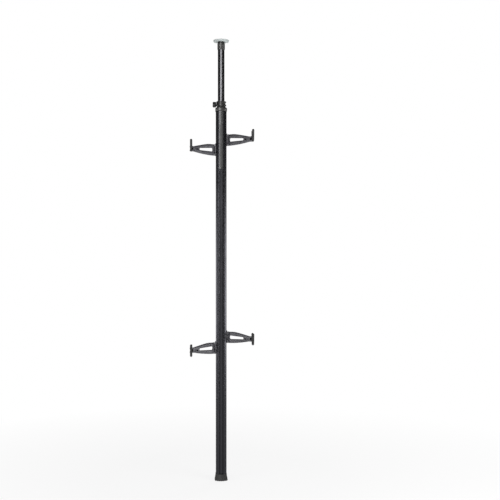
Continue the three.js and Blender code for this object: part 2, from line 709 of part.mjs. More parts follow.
function ceilingPad() {
  const body = turned([
    [0, PAD_BOTTOM],
    [HUB_RADIUS + PAD_RIM, PAD_BOTTOM],
    [PAD_RADIUS - 2 * PAD_RIM, PAD_BOTTOM + PAD_DISH],
    [PAD_RADIUS - PAD_RIM / 2, PAD_BOTTOM + PAD_DISH],
    [PAD_RADIUS, PAD_BOTTOM + PAD_DISH + PAD_RIM / 2],
    [PAD_RADIUS, RACK_HEIGHT - PAD_RIM / 2],
    [PAD_RADIUS - PAD_RIM / 2, RACK_HEIGHT],
    [0, RACK_HEIGHT],
  ]);
  const socket = rod(HUB_SPIGOT_RADIUS + GAP, PAD_BOTTOM - OVERRUN, HUB_TOP + HUB_SPIGOT + GAP);
  const radius = (HUB_SPIGOT_RADIUS + PAD_RADIUS) / 2;
  const groove = turnedRing([
    [radius, RACK_HEIGHT - PAD_GROOVE_DEPTH],
    [radius + PAD_GROOVE_WIDTH, RACK_HEIGHT - PAD_GROOVE_DEPTH],
    [radius + PAD_GROOVE_WIDTH, RACK_HEIGHT + OVERRUN],
    [radius, RACK_HEIGHT + OVERRUN],
  ]);
  return carve([body], [socket, groove]);
}

// Right-hand bracket, level with the arm's middle: plate, key in the T-slot and two ears
function bracket() {
  const halfHeight = BRACKET_HEIGHT / 2;
  const plateOutline = roundedPoints(
    rectangle(-BRACKET_FRONT, BRACKET_BACK, -halfHeight, halfHeight),
    [BRACKET_CORNER, BRACKET_CORNER, BRACKET_CORNER, BRACKET_CORNER],
    CORNER_STEPS,
  );
  const plate = prism(plateOutline, PLATE_X, PLATE_OUTER_X)
    .rotateX(Math.PI / 2)
    .rotateZ(Math.PI / 2);
  const key = prism(
    rectangle(SLOT_LIP_X, PLATE_X + BRACKET_PLATE / 2,
      SLOT_OFFSET - SLOT_MOUTH_WIDTH / 2 + GAP, SLOT_OFFSET + SLOT_MOUTH_WIDTH / 2 - GAP),
    BRACKET_CORNER - halfHeight, halfHeight - BRACKET_CORNER,
  );
  const earOutline = [
    new THREE.Vector2(PLATE_OUTER_X - BRACKET_PLATE / 2, EAR_RADIUS - HINGE_FORWARD),
    new THREE.Vector2(PLATE_OUTER_X - BRACKET_PLATE / 2, -EAR_RADIUS - HINGE_FORWARD),
    ...arcPoints(HINGE_REACH, -HINGE_FORWARD, EAR_RADIUS, -Math.PI / 2, Math.PI / 2, EAR_STEPS),
  ];
  const topEar = prism(earOutline, EAR_TOP - EAR_HEIGHT, EAR_TOP);
  const bottomEar = prism(earOutline, -EAR_BOTTOM, EAR_HEIGHT - EAR_BOTTOM);
  const pinHole = rod(PIN_RADIUS + GAP, -EAR_BOTTOM - OVERRUN, EAR_TOP + OVERRUN, SCREW_STEPS)
    .translate(HINGE_REACH, -HINGE_FORWARD, 0);
  return carve([plate, key, topEar, bottomEar], [pinHole, ...shoeScrewHoles()]);
}

function shoeScrewHoles() {
  return [-1, 1].map((end) =>
    rod(SHOE_SCREW_RADIUS + GAP, SLOT_FLOOR_X - OVERRUN, PLATE_OUTER_X + OVERRUN, SCREW_STEPS)
      .rotateY(Math.PI / 2)
      .translate(0, SLOT_OFFSET, (end * SHOE_SCREW_SPACING) / 2),
  );
}

function shoe() {
  const half = SLOT_CHAMBER_WIDTH / 2 - GAP;
  const bar = prism(
    rectangle(SLOT_FLOOR_X + GAP, SLOT_LIP_X - GAP, SLOT_OFFSET - half, SLOT_OFFSET + half),
    -SHOE_LENGTH / 2, SHOE_LENGTH / 2,
  );
  return carve([bar], shoeScrewHoles());
}

function shoeScrew() {
  return socketScrew({
    headRadius: SHOE_SCREW_HEAD_RADIUS,
    head: SHOE_SCREW_HEAD,
    radius: SHOE_SCREW_RADIUS,
    length: PLATE_OUTER_X - SLOT_FLOOR_X - GAP,
    socketRadius: SHOE_SCREW_SOCKET_RADIUS,
  }).rotateY(Math.PI / 2);
}

// Headed pin along +Z whose shank reaches down from z = 0
function headedPin(radius, length, headRadius, head) {
  return carve([turned([
    [0, -length],
    [radius, -length],
    [radius, 0],
    [headRadius, 0],
    [headRadius, head * PIN_EDGE_SHARE],
    [headRadius * PIN_CROWN_SHARE, head],
    [0, head],
  ], SCREW_STEPS)]);
}

// Arm in its own frame: +X runs outward along the arm, and the hinge is at the origin. The shares
// set how its top edge leaves the tip and reaches the crest.
const TIP_LEAD_SHARE = 0.33;
const TIP_LIFT_SHARE = 0.38;
const CREST_LEAD_SHARE = 0.22;
const TIP_MIDDLE = (ARM_TIP_TOP - ARM_TIP_BOTTOM) / 2;
const TIP_HEIGHT = ARM_TIP_TOP + ARM_TIP_BOTTOM;

function armOutline() {
  const shape = new THREE.Shape();
  const middle = (ARM_ROOT + ARM_TIP_REACH) / 2;
  const chord = -(ARM_ROOT_BOTTOM + ARM_TIP_BOTTOM) / 2;
  const fall = ARM_CREST - ARM_TIP_TOP;
  const span = ARM_TIP_REACH - ARM_CREST_REACH;
  shape.moveTo(ARM_ROOT, -ARM_ROOT_BOTTOM);
  shape.quadraticCurveTo(middle, chord - ARM_UNDERSIDE_BULGE, ARM_TIP_REACH, -ARM_TIP_BOTTOM);
  shape.lineTo(ARM_TIP_REACH, ARM_TIP_TOP);
  shape.bezierCurveTo(
    ARM_TIP_REACH - span * TIP_LEAD_SHARE, ARM_TIP_TOP + fall * TIP_LIFT_SHARE,
    ARM_CREST_REACH + span * CREST_LEAD_SHARE, ARM_CREST,
    ARM_CREST_REACH, ARM_CREST,
  );
  shape.lineTo(ARM_ROOT, ARM_ROOT_TOP);
  return shape.getPoints(CURVE_STEPS);
}

function windowOutline(grow) {
  const corners = [
    new THREE.Vector2(WINDOW_START, -WINDOW_DROP - WINDOW_HALF_HEIGHT),
    new THREE.Vector2(WINDOW_END, -WINDOW_TIP_DROP - WINDOW_TIP_HALF_HEIGHT),
    new THREE.Vector2(WINDOW_END, -WINDOW_TIP_DROP + WINDOW_TIP_HALF_HEIGHT),
    new THREE.Vector2(WINDOW_START, -WINDOW_DROP + WINDOW_HALF_HEIGHT),
  ];
  const radii = [WINDOW_CORNER, WINDOW_TIP_CORNER, WINDOW_TIP_CORNER, WINDOW_CORNER];
  return roundedPoints(corners, radii, CORNER_STEPS, grow);
}

// Cutters for the window: straight through, and widening to both faces so that its edges are round
function windowCutters() {
  const face = ARM_THICKNESS / 2;
  const sections = Array.from({ length: EDGE_STEPS + 1 }, (_, i) => {
    const angle = (Math.PI / 2) * (i / EDGE_STEPS);
    const points = windowOutline(ARM_EDGE * (1 - Math.cos(angle)));
    return { height: face - ARM_EDGE * (1 - Math.sin(angle)), points };
  });
  const flare = loft([...sections, { height: face + OVERRUN, points: windowOutline(ARM_EDGE) }]);
  const otherFlare = flare.clone().applyMatrix4(new THREE.Matrix4().makeScale(1, 1, -1));
  const straight = prism(windowOutline(0), -face, face);
  return [straight, flare, otherFlare].map((cutter) => cutter.rotateX(Math.PI / 2));
}

function armBody() {
  const shape = new THREE.Shape(armOutline());
  const flat = ARM_THICKNESS - 2 * ARM_EDGE;
  const plate = new THREE.ExtrudeGeometry(shape, {
    depth: flat,
    bevelThickness: ARM_EDGE,
    bevelSize: ARM_EDGE,
    bevelOffset: -ARM_EDGE,
    bevelSegments: EDGE_STEPS,
  });
  plate.translate(0, 0, -flat / 2).rotateX(Math.PI / 2);
  const hingeTop = EAR_TOP - EAR_HEIGHT - GAP;
  const hingeBottom = EAR_HEIGHT - EAR_BOTTOM + GAP;
  const barrel = rod(ARM_BARREL_RADIUS, hingeBottom, hingeTop, BARREL_STEPS);
  const web = prism(
    rectangle(0, ARM_ROOT + ARM_EDGE, -ARM_BARREL_RADIUS, ARM_BARREL_RADIUS), hingeBottom, hingeTop,
  );
  const knuckle = rod(KNUCKLE_RADIUS, -ARM_TIP_BOTTOM, ARM_TIP_TOP, BARREL_STEPS)
    .translate(HOOK_REACH, 0, 0);
  const tip = prism(
    rectangle(ARM_TIP_REACH - ARM_EDGE, HOOK_REACH, -KNUCKLE_RADIUS, KNUCKLE_RADIUS),
    -ARM_TIP_BOTTOM, ARM_TIP_TOP,
  );
  const bossEnd = ARM_THICKNESS / 2 + BOSS_RISE;
  const boss = rod(BOSS_RADIUS, -bossEnd, bossEnd, BARREL_STEPS)
    .rotateX(Math.PI / 2)
    .translate(BOSS_REACH, 0, -BOSS_DROP);
  const pinHole = rod(PIN_RADIUS + GAP, hingeBottom - OVERRUN, hingeTop + OVERRUN, SCREW_STEPS);
  const slotHalf = KNUCKLE_SLOT / 2;
  const slotRadius = HOOK_BARREL_RADIUS + 2 * GAP;
  const slotSide = KNUCKLE_RADIUS + OVERRUN;
  const slot = prism(
    rectangle(HOOK_REACH - slotRadius - GAP, HOOK_REACH + slotSide, -slotSide, slotSide),
    TIP_MIDDLE - slotHalf, TIP_MIDDLE + slotHalf,
  );
  const tipUnder = -ARM_TIP_BOTTOM - OVERRUN;
  const hookPinHole = rod(HOOK_PIN_RADIUS + GAP, tipUnder, ARM_TIP_TOP + OVERRUN, SCREW_STEPS)
    .translate(HOOK_REACH, 0, 0);
  const tools = [...windowCutters(), pinHole, slot, hookPinHole];
  return { parts: [plate, barrel, web, knuckle, tip, boss], tools };
}

// The lock screw's blind hole opens on the side of the arm that faces the front
function arm(frontSide) {
  const { parts, tools } = armBody();
  const surface = ARM_THICKNESS / 2 + BOSS_RISE;
  const holeFloor = surface - LOCK_SCREW_LENGTH - GAP;
  const hole = rod(LOCK_SCREW_RADIUS + GAP, holeFloor, surface + OVERRUN, SCREW_STEPS)
    .rotateX((-frontSide * Math.PI) / 2)
    .translate(BOSS_REACH, 0, -BOSS_DROP);
  return carve(parts, [...tools, hole]);
}

function lockScrew(frontSide) {
  return socketScrew({
    headRadius: LOCK_SCREW_HEAD_RADIUS,
    head: LOCK_SCREW_HEAD,
    radius: LOCK_SCREW_RADIUS,
    length: LOCK_SCREW_LENGTH,
    socketRadius: LOCK_SCREW_SOCKET_RADIUS,
  }).rotateX((-frontSide * Math.PI) / 2);
}

// Centre line of the cradle: the rear prong, a round bottom and the front prong. It lies in the
// plane of X, forward, and Z, up.
class CradleCurve extends THREE.Curve {
  constructor() {
    super();
    const centre = new THREE.Vector2(CRADLE_BOTTOM_REACH, -CRADLE_BOTTOM_DROP);
    this.rearTip = new THREE.Vector2(REAR_PRONG_REACH, REAR_PRONG_RISE);
    this.frontTip = new THREE.Vector2(FRONT_PRONG_REACH, FRONT_PRONG_RISE);
    const tangent = (tip, turn) => {
      const away = tip.clone().sub(centre);
      return away.angle() + turn * Math.acos(CRADLE_BOTTOM_RADIUS / away.length());
    };
    this.centre = centre;
    this.startAngle = tangent(this.rearTip, 1);
    this.endAngle = tangent(this.frontTip, -1) + 2 * Math.PI;
    this.rearFoot = this.onBottom(this.startAngle);
    this.frontFoot = this.onBottom(this.endAngle);
    this.rearLength = this.rearTip.distanceTo(this.rearFoot);
    this.bottomLength = CRADLE_BOTTOM_RADIUS * (this.endAngle - this.startAngle);
    this.frontLength = this.frontTip.distanceTo(this.frontFoot);
  }

  onBottom(angle) {
    const spoke = new THREE.Vector2(Math.cos(angle), Math.sin(angle));
    return spoke.multiplyScalar(CRADLE_BOTTOM_RADIUS).add(this.centre);
  }

  getPoint(t, target = new THREE.Vector3()) {
    const along = t * (this.rearLength + this.bottomLength + this.frontLength);
    const past = along - this.rearLength - this.bottomLength;
    let point = null;
    if (along < this.rearLength) {
      point = this.rearTip.clone().lerp(this.rearFoot, along / this.rearLength);
    } else if (past < 0) {
      point = this.onBottom(this.startAngle + (along - this.rearLength) / CRADLE_BOTTOM_RADIUS);
    } else {
      point = this.frontFoot.clone().lerp(this.frontTip, past / this.frontLength);
    }
    return target.set(point.x, 0, point.y);
  }
}

function cradleTube(radius, curve, sides) {
  const section = new THREE.Shape(circlePoints(0, 0, radius, sides));
  return new THREE.ExtrudeGeometry(section, {
    steps: CRADLE_STEPS,
    extrudePath: curve,
    bevelEnabled: false,
  });
}

// How far forward the rear prong's centre line is at a height
function rearLegReach(curve, height) {
  const share = (curve.rearTip.y - height) / (curve.rearTip.y - curve.rearFoot.y);
  return curve.rearTip.x + (curve.rearFoot.x - curve.rearTip.x) * share;
}

// Flat stem from the barrel to the rear prong, or the opening for it when it is grown
function hookStem(grow) {
  const curve = new CradleCurve();
  const start = STEM_HEIGHT / 2 + grow;
  const end = STEM_END_HEIGHT / 2 + grow;
  const from = grow > 0 ? rearLegReach(curve, 0) / 2 : 0;
  const outline = [
    new THREE.Vector2(from, -start),
    new THREE.Vector2(rearLegReach(curve, -end), -end),
    new THREE.Vector2(rearLegReach(curve, end), end),
    new THREE.Vector2(from, start),
  ];
  const half = STEM_WIDTH / 2 + grow;
  return prism(outline, -half, half).rotateX(Math.PI / 2);
}

function hookCore() {
  const halfBarrel = KNUCKLE_SLOT / 2 - GAP;
  const barrel = rod(HOOK_BARREL_RADIUS, -halfBarrel, halfBarrel, BARREL_STEPS);
  const pinHole = rod(HOOK_PIN_RADIUS + GAP, -KNUCKLE_SLOT, KNUCKLE_SLOT, SCREW_STEPS);
  const bend = cradleTube(CRADLE_ROD_RADIUS, new CradleCurve(), ROD_SIDES);
  return carve([bend, hookStem(0), barrel], [pinHole]);
}

// A tube along the cradle with a dome on each end
const DOME_SHARE = 0.92;

function capsule(radius, curve, sides) {
  const domes = [curve.rearTip, curve.frontTip].map((tip) =>
    new THREE.SphereGeometry(radius * DOME_SHARE, sides, DOME_STEPS).translate(tip.x, 0, tip.y),
  );
  return [cradleTube(radius, curve, sides), ...domes];
}

function hookSleeve() {
  const curve = new CradleCurve();
  const bore = capsule(SLEEVE_BORE_RADIUS, curve, ROD_SIDES);
  return carve(capsule(SLEEVE_RADIUS, curve, SLEEVE_SIDES), [...bore, hookStem(GAP)]);
}

// One arm with everything on it. Side is 1 on the right and -1 on the left.
function armAssembly(name, side, height) {
  const handed = (geometry) => (side > 0 ? geometry : mirrored(geometry));
  const shaped = (geometry) => geometryOf(solid(handed(geometry)));
  const assembly = new THREE.Group();
  assembly.position.z = height;
  assembly.add(place(`${name}_bracket`, shaped(bracket()), DARK_PLASTIC()));
  assembly.add(place(`${name}_shoe`, shaped(shoe()), STEEL()));
  for (const end of [1, -1]) {
    const number = end > 0 ? 1 : 2;
    const at = [side * (PLATE_OUTER_X + GAP), SLOT_OFFSET, (end * SHOE_SCREW_SPACING) / 2];
    assembly.add(place(`${name}_shoe_screw_${number}`, shaped(shoeScrew()), STEEL(), at));
  }
  const armPin = headedPin(PIN_RADIUS, EAR_TOP + EAR_BOTTOM + GAP, PIN_HEAD_RADIUS, PIN_HEAD);
  const armPinAt = [side * HINGE_REACH, -HINGE_FORWARD, EAR_TOP + GAP];
  assembly.add(place(`${name}_arm_pin`, armPin, STEEL(), armPinAt));

  const swing = new THREE.Group();
  const armAngle = side > 0 ? -ARM_SPREAD : Math.PI + ARM_SPREAD;
  swing.position.set(side * HINGE_REACH, -HINGE_FORWARD, 0);
  swing.rotation.z = armAngle;
  const frontSide = -side;
  const screwAt = [BOSS_REACH, frontSide * (ARM_THICKNESS / 2 + BOSS_RISE + GAP), -BOSS_DROP];
  swing.add(place(`${name}_arm`, arm(frontSide), DARK_PLASTIC()));
  swing.add(place(`${name}_lock_screw`, lockScrew(frontSide), STEEL(), screwAt));
  const hookPin = headedPin(HOOK_PIN_RADIUS, TIP_HEIGHT + GAP, HOOK_PIN_HEAD_RADIUS, HOOK_PIN_HEAD);
  swing.add(place(`${name}_hook_pin`, hookPin, STEEL(), [HOOK_REACH, 0, ARM_TIP_TOP + GAP]));

  const swivel = new THREE.Group();
  swivel.position.set(HOOK_REACH, 0, TIP_MIDDLE);
  swivel.rotation.z = -Math.PI / 2 - armAngle;
  swivel.add(place(`${name}_hook_core`, hookCore(), STEEL()));
  swivel.add(place(`${name}_hook_sleeve`, hookSleeve(), RUBBER()));
  swing.add(swivel);
  assembly.add(swing);
  return assembly;
}

const rack = new THREE.Group();
rack.name = 'two_tier_bike_rack';

rack.add(place('lower_pole', lowerPole(), ANODISED()));
rack.add(place('floor_foot', floorFoot(), RUBBER()));
rack.add(place('cover_strip', carve([coverStrip()]), BLACK_PLASTIC()));
rack.add(place('pole_collar', poleCollar(), DARK_PLASTIC()));
const backFace = POLE_BACK_DEPTH + COLLAR_WALL + GAP;
rack.add(place('collar_screw', collarScrew(), STEEL(), [0, backFace, POLE_TOP - COLLAR_SCREW_DROP]));

const padStart = TUBE_RADIUS + GAP;
const screwStart = padStart + CLAMP_PAD_LENGTH + GAP;
const clampPad = carve([rod(CLAMP_SCREW_RADIUS, padStart, padStart + CLAMP_PAD_LENGTH, BARREL_STEPS)]);
const screwEnd = COLLAR_RIB_RADIUS + KNOB_LENGTH / 2 - GAP;
const clampStud = carve([rod(CLAMP_SCREW_RADIUS, screwStart, screwEnd, BARREL_STEPS)]);
rack.add(place('clamp_pad', clampPad.rotateY(-Math.PI / 2), BLACK_PLASTIC(), [0, 0, KNOB_HEIGHT]));
rack.add(place('clamp_screw', clampStud.rotateY(-Math.PI / 2), STEEL(), [0, 0, KNOB_HEIGHT]));
rack.add(place('clamp_knob', clampKnob(), RUBBER(), [-COLLAR_RIB_RADIUS, 0, KNOB_HEIGHT]));

rack.add(place('upper_tube', upperTube(), ANODISED()));
rack.add(place('tube_guide_plug', tubeGuidePlug(), BLACK_PLASTIC()));
rack.add(place('tube_top_bush', tubeTopBush(), BLACK_PLASTIC()));
rack.add(place('adjuster_collar', adjusterCollar(), DARK_PLASTIC()));
rack.add(place('jack_stem', jackStem(), STEEL()));
rack.add(place('pad_holder', padHolder(), BLACK_PLASTIC()));
rack.add(place('ceiling_pad', ceilingPad(), PALE_RUBBER()));

rack.add(armAssembly('upper_right', 1, UPPER_RIGHT_HEIGHT));
rack.add(armAssembly('upper_left', -1, UPPER_LEFT_HEIGHT));
rack.add(armAssembly('lower_right', 1, LOWER_RIGHT_HEIGHT));
rack.add(armAssembly('lower_left', -1, LOWER_LEFT_HEIGHT));

export default rack;
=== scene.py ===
# %% [markdown]
# # Two tier bike rack
# The rack is a tension pole: a rubber foot stands on the floor, a thinner tube slides out of the
# pole's top, and a screw jack presses a soft pad against the ceiling. Four arms ride on the pole's
# sides, and each carries a rubber-covered cradle. This script dresses the fixed CAD frame. Nodes
# whose shape is right keep it, as a merged copy that shades smoothly, and pieces whose real shape
# is finer than the frame's are built new and take their node's place.

# %% Load the frame
import json
import math

import bmesh
import bpy
from mathutils import Matrix, Vector


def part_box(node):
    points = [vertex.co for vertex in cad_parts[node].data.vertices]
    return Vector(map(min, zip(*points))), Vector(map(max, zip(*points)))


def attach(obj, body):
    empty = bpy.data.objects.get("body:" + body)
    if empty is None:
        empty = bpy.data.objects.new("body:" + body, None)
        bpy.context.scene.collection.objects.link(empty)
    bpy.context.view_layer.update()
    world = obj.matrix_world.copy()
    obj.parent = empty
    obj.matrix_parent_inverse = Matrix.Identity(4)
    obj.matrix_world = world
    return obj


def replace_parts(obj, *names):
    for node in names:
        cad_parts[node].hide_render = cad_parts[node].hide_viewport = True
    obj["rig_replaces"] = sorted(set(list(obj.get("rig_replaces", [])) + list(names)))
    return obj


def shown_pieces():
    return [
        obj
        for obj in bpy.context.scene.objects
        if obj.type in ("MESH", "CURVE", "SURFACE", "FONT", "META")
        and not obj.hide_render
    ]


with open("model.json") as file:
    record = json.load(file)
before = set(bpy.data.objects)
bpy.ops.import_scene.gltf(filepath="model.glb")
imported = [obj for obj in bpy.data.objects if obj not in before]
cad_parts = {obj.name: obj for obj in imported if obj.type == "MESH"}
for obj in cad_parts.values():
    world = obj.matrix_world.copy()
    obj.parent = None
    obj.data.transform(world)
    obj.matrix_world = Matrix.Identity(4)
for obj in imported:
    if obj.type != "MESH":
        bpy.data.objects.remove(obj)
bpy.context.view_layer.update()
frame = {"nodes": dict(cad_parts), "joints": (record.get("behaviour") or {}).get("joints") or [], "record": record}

RECORD = frame["record"]
BODY_OF = {node: body for body, nodes in RECORD["behaviour"]["bodies"].items() for node in nodes}
SLOT_OF = {part["node"]: part["material_slot"] for part in RECORD["subparts"]}
JOINTS = {joint["name"]: joint for joint in frame["joints"]}
MM = 0.001
ARMS = ["upper_right", "upper_left", "lower_right", "lower_left"]

# %% [markdown]
# ## Colours and nodes
# A colour that is written as hex is stored for a screen, and a shader wants linear light, so one
# function turns it. One more function adds a node, sets it and links it, which keeps each material
# below short enough to read as a recipe.


# %% Helpers for colour and nodes
def linear(colour):
    """Linear RGBA from an sRGB hex colour."""
    parts = [int(colour[i:i + 2], 16) / 255 for i in (1, 3, 5)]
    return tuple(p / 12.92 if p <= 0.04045 else ((p + 0.055) / 1.055) ** 2.4 for p in parts) + (1.0,)


def add(tree, kind, inputs=None, **settings):
    """Adds a node with its settings. An input that is a socket is linked, and any other is a value."""
    node = tree.nodes.new(kind)
    for name, value in settings.items():
        setattr(node, name, value)
    for name, value in (inputs or {}).items():
        if isinstance(value, bpy.types.NodeSocket):
            tree.links.new(value, node.inputs[name])
        else:
            node.inputs[name].default_value = value
    return node


print("linear mid grey:", [round(v, 3) for v in linear("#808080")])

# %% [markdown]
# ## How a surface is put together
# Every finish here has the same four layers: a base colour that drifts a little from place to
# place, a roughness that follows handling and dust, a fine relief, and edges that catch the light
# because no real edge is sharp. The Bevel node gives a normal that is rounded over a given radius.
# Where that differs from the true normal there is an edge, so the same mask serves for rubbed and
# polished edges. A fifth layer is for deep grooves only, and it is painted shade: the Ambient
# Occlusion node finds corners that the light of a room doesn't reach, and the colour is darkened there.


# %% The layers that all finishes share
BUMP_STRENGTH = 0.6
EDGE_MATCH = (0.8, 0.99)
# CORNER_REACH and CORNER_LIGHT set the painted shade in corners: how far the Ambient Occlusion node looks, and the
# part of its range that darkens the colour.
CORNER_REACH = 10
CORNER_LIGHT = (0.55, 0.95)


def new_finish(name, roughness, metallic=0.0):
    finish = bpy.data.materials.new(name)
    finish.use_nodes = True
    tree = finish.node_tree
    shader = tree.nodes["Principled BSDF"]
    shader.inputs["Roughness"].default_value = roughness
    shader.inputs["Metallic"].default_value = metallic
    return finish, tree, shader


def pattern(tree, size_mm, detail=4.0, stretch=(1, 1, 1)):
    """Noise whose grains are about size_mm across, drawn out along an axis by stretch."""
    place = add(tree, "ShaderNodeTexCoord").outputs["Object"]
    scale = [1 / (size_mm * MM * along) for along in stretch]
    moved = add(tree, "ShaderNodeMapping", {"Vector": place, "Scale": scale})
    noise = add(tree, "ShaderNodeTexNoise", {"Vector": moved.outputs[0], "Scale": 1.0, "Detail": detail})
    return noise.outputs["Fac"]


def spread(tree, value, low, high, from_low=0.3, from_high=0.7):
    """Maps a value to the range low to high. A noise seldom leaves 0.3 to 0.7, so that is the start."""
    scaled = add(tree, "ShaderNodeMapRange", {
        "Value": value, "From Min": from_low, "From Max": from_high, "To Min": low, "To Max": high})
    return scaled.outputs["Result"]


def edges(tree, radius_mm):
    """The rounded normal, and a mask that is 1 on the edges."""
    rounded = add(tree, "ShaderNodeBevel", {"Radius": radius_mm * MM}, samples=4).outputs["Normal"]
    true = add(tree, "ShaderNodeNewGeometry").outputs["Normal"]
    match = add(tree, "ShaderNodeVectorMath", {0: rounded, 1: true}, operation="DOT_PRODUCT")
    return rounded, spread(tree, match.outputs["Value"], 1.0, 0.0, *EDGE_MATCH)


def blend_colour(tree, factor, low, high):
    mixed = add(tree, "ShaderNodeMix", {0: factor, 6: low, 7: high}, data_type="RGBA")
    return mixed.outputs[2]


def painted_corner_shade(tree, depth):
    """Painted shade: a mask that is 1 in the open and falls by depth in corners closer than CORNER_REACH."""
    light = add(tree, "ShaderNodeAmbientOcclusion", {"Distance": CORNER_REACH * MM}, samples=8,
                only_local=True)
    return spread(tree, light.outputs["AO"], 1.0 - depth, 1.0, *CORNER_LIGHT)


def dress(tree, shader, tone, colours, sheen, relief, relief_mm, edge_mm, edge_colour, edge_amount,
          corners=0.0):
    """Joins tone, roughness, relief, edges and painted shade in corners to the shader."""
    rounded, rim = edges(tree, edge_mm)
    colour = blend_colour(tree, tone, linear(colours[0]), linear(colours[1]))
    # corners is the depth of painted shade: the colour goes towards black where the Ambient Occlusion node finds a
    # corner.
    if corners > 0:
        colour = blend_colour(tree, painted_corner_shade(tree, corners), linear("#000000"), colour)
    worn = add(tree, "ShaderNodeMath", {0: rim, 1: edge_amount}, operation="MULTIPLY")
    colour = blend_colour(tree, worn.outputs[0], colour, linear(edge_colour))
    bump = add(tree, "ShaderNodeBump", {
        "Height": relief, "Strength": BUMP_STRENGTH, "Distance": relief_mm * MM, "Normal": rounded})
    tree.links.new(colour, shader.inputs["Base Color"])
    tree.links.new(sheen, shader.inputs["Roughness"])
    tree.links.new(bump.outputs["Normal"], shader.inputs["Normal"])


# %% [markdown]
# ## Anodised aluminium
# The pole is an extrusion: hot aluminium is pushed through a die, which leaves fine lines along its
# whole length, and the dyed oxide layer is satin over bright metal. The dye leaves almost nothing of
# the metal's own colour, so the surface is near black and lives by what it reflects: a dark grey
# metal does that. A noise that is drawn out along Z gives the die lines. Real ones are about 0.1 mm
# wide and are drawn 1.6 mm wide here, because finer ones would vanish at this distance. The groove and
# the slots look black, because their walls only mirror each other, so painted shade darkens the colour
# in their corners. The tube is drawn through a ring, so its finish is a little lighter, with lines that
# are finer and fainter.


# %% Anodised pole and tube
LINE_STRETCH = (1, 1, 400)
HANDLED_PATCH = 45


def anodised(name, colours, gloss, line_mm, relief_mm):
    finish, tree, shader = new_finish(name, gloss, metallic=0.92)
    lines = pattern(tree, line_mm, detail=3.0, stretch=LINE_STRETCH)
    handling = pattern(tree, HANDLED_PATCH, detail=5.0, stretch=(1, 1, 2))
    tone = spread(tree, lines, 0.0, 1.0)
    sheen = spread(tree, handling, gloss - 0.03, gloss + 0.05)
    # corners=0.95 paints shade into the grooves and slots, where the colour goes nearly black.
    dress(tree, shader, tone, colours, sheen, lines, relief_mm, edge_mm=0.5, edge_colour="#77777c",
          edge_amount=0.25, corners=0.95)
    return finish


EXTRUDED = anodised("anodised_aluminium_extruded", ("#343437", "#3e3e42"), gloss=0.24, line_mm=1.6,
                    relief_mm=0.01)
DRAWN = anodised("anodised_aluminium_drawn", ("#444446", "#4c4c4e"), gloss=0.24, line_mm=1.0,
                 relief_mm=0.003)
print("made:", EXTRUDED.name, DRAWN.name)

# %% [markdown]
# ## Moulded plastics
# The arms and brackets are glass-filled nylon, moulded in a spark-eroded tool. Its grain is near
# 0.3 mm and is drawn at 0.9 mm. The melt leaves soft clouds where it flowed, the glass turns the black
# into a dull grey, and the edges polish with use. The collar and the adjuster are nylon without glass
# from a smoother tool, which is darker and satin. The smaller parts are black ABS, the darkest and
# nearly as glossy.


# %% Nylon and ABS
FLOW_CLOUD = 28


def moulded(name, colours, gloss, grain_mm, relief_mm, edge_colour):
    finish, tree, shader = new_finish(name, gloss)
    grain = pattern(tree, grain_mm, detail=2.0)
    flow = pattern(tree, FLOW_CLOUD, detail=3.0)
    tone = spread(tree, flow, 0.0, 1.0)
    sheen = spread(tree, grain, gloss - 0.07, gloss + 0.09)
    dress(tree, shader, tone, colours, sheen, grain, relief_mm, edge_mm=0.6, edge_colour=edge_colour,
          edge_amount=0.4)
    return finish


NYLON = moulded("nylon_glass_filled_moulded", ("#3c3b40", "#47464b"), gloss=0.46, grain_mm=0.9,
                relief_mm=0.03, edge_colour="#626166")
SATIN_NYLON = moulded("nylon_satin_moulded", ("#282827", "#323230"), gloss=0.27, grain_mm=0.9,
                      relief_mm=0.008, edge_colour="#50504e")
ABS = moulded("abs_black_moulded", ("#101110", "#181918"), gloss=0.28, grain_mm=0.7,
              relief_mm=0.006, edge_colour="#30312f")
print("made:", NYLON.name, SATIN_NYLON.name, ABS.name)

# %% [markdown]
# ## Rubber and the soft pad
# The foot and the cradle sleeves are black natural rubber, pressed in a sand-blasted mould. It is
# dull, and wax that comes to the surface leaves a pale bloom in patches. The ceiling pad is a pale
# grey thermoplastic elastomer with a satin skin, whose edges stay a little darker where it is handled.


# %% Rubber and elastomer
BLASTED_GRAIN = 1.1


def pressed_rubber(name, colours, bloom_mm, gloss, edge_colour):
    finish, tree, shader = new_finish(name, gloss)
    grain = pattern(tree, BLASTED_GRAIN, detail=3.0)
    bloom = pattern(tree, bloom_mm, detail=4.0)
    tone = spread(tree, bloom, 0.0, 1.0)
    sheen = spread(tree, bloom, gloss - 0.1, gloss + 0.1)
    dress(tree, shader, tone, colours, sheen, grain, relief_mm=0.08, edge_mm=0.8, edge_colour=edge_colour,
          edge_amount=0.35)
    return finish


RUBBER = pressed_rubber("natural_rubber_pressed", ("#131313", "#1e1e1e"), bloom_mm=24, gloss=0.68,
                        edge_colour="#383838")
ELASTOMER = pressed_rubber("elastomer_pale_moulded", ("#bac3c2", "#d0d7d6"), bloom_mm=18, gloss=0.5,
                           edge_colour="#8d9493")
print("made:", RUBBER.name, ELASTOMER.name)

# %% [markdown]
# ## Steel
# The shoes, the jack's stem and the clamp screw are zinc plated, which is bright with a faint cloudy
# grain. Screws and pins are black oxide, a dark coat that is thin enough to wear to steel at the
# edges first.


# %% Plated and blackened steel
PLATED_CLOUD = 4


def plated(name, colours, gloss, edge_colour, edge_amount):
    finish, tree, shader = new_finish(name, gloss, metallic=1.0)
    cloud = pattern(tree, PLATED_CLOUD, detail=4.0)
    tone = spread(tree, cloud, 0.0, 1.0)
    sheen = spread(tree, cloud, gloss - 0.08, gloss + 0.1)
    dress(tree, shader, tone, colours, sheen, cloud, relief_mm=0.02, edge_mm=0.3, edge_colour=edge_colour,
          edge_amount=edge_amount)
    return finish


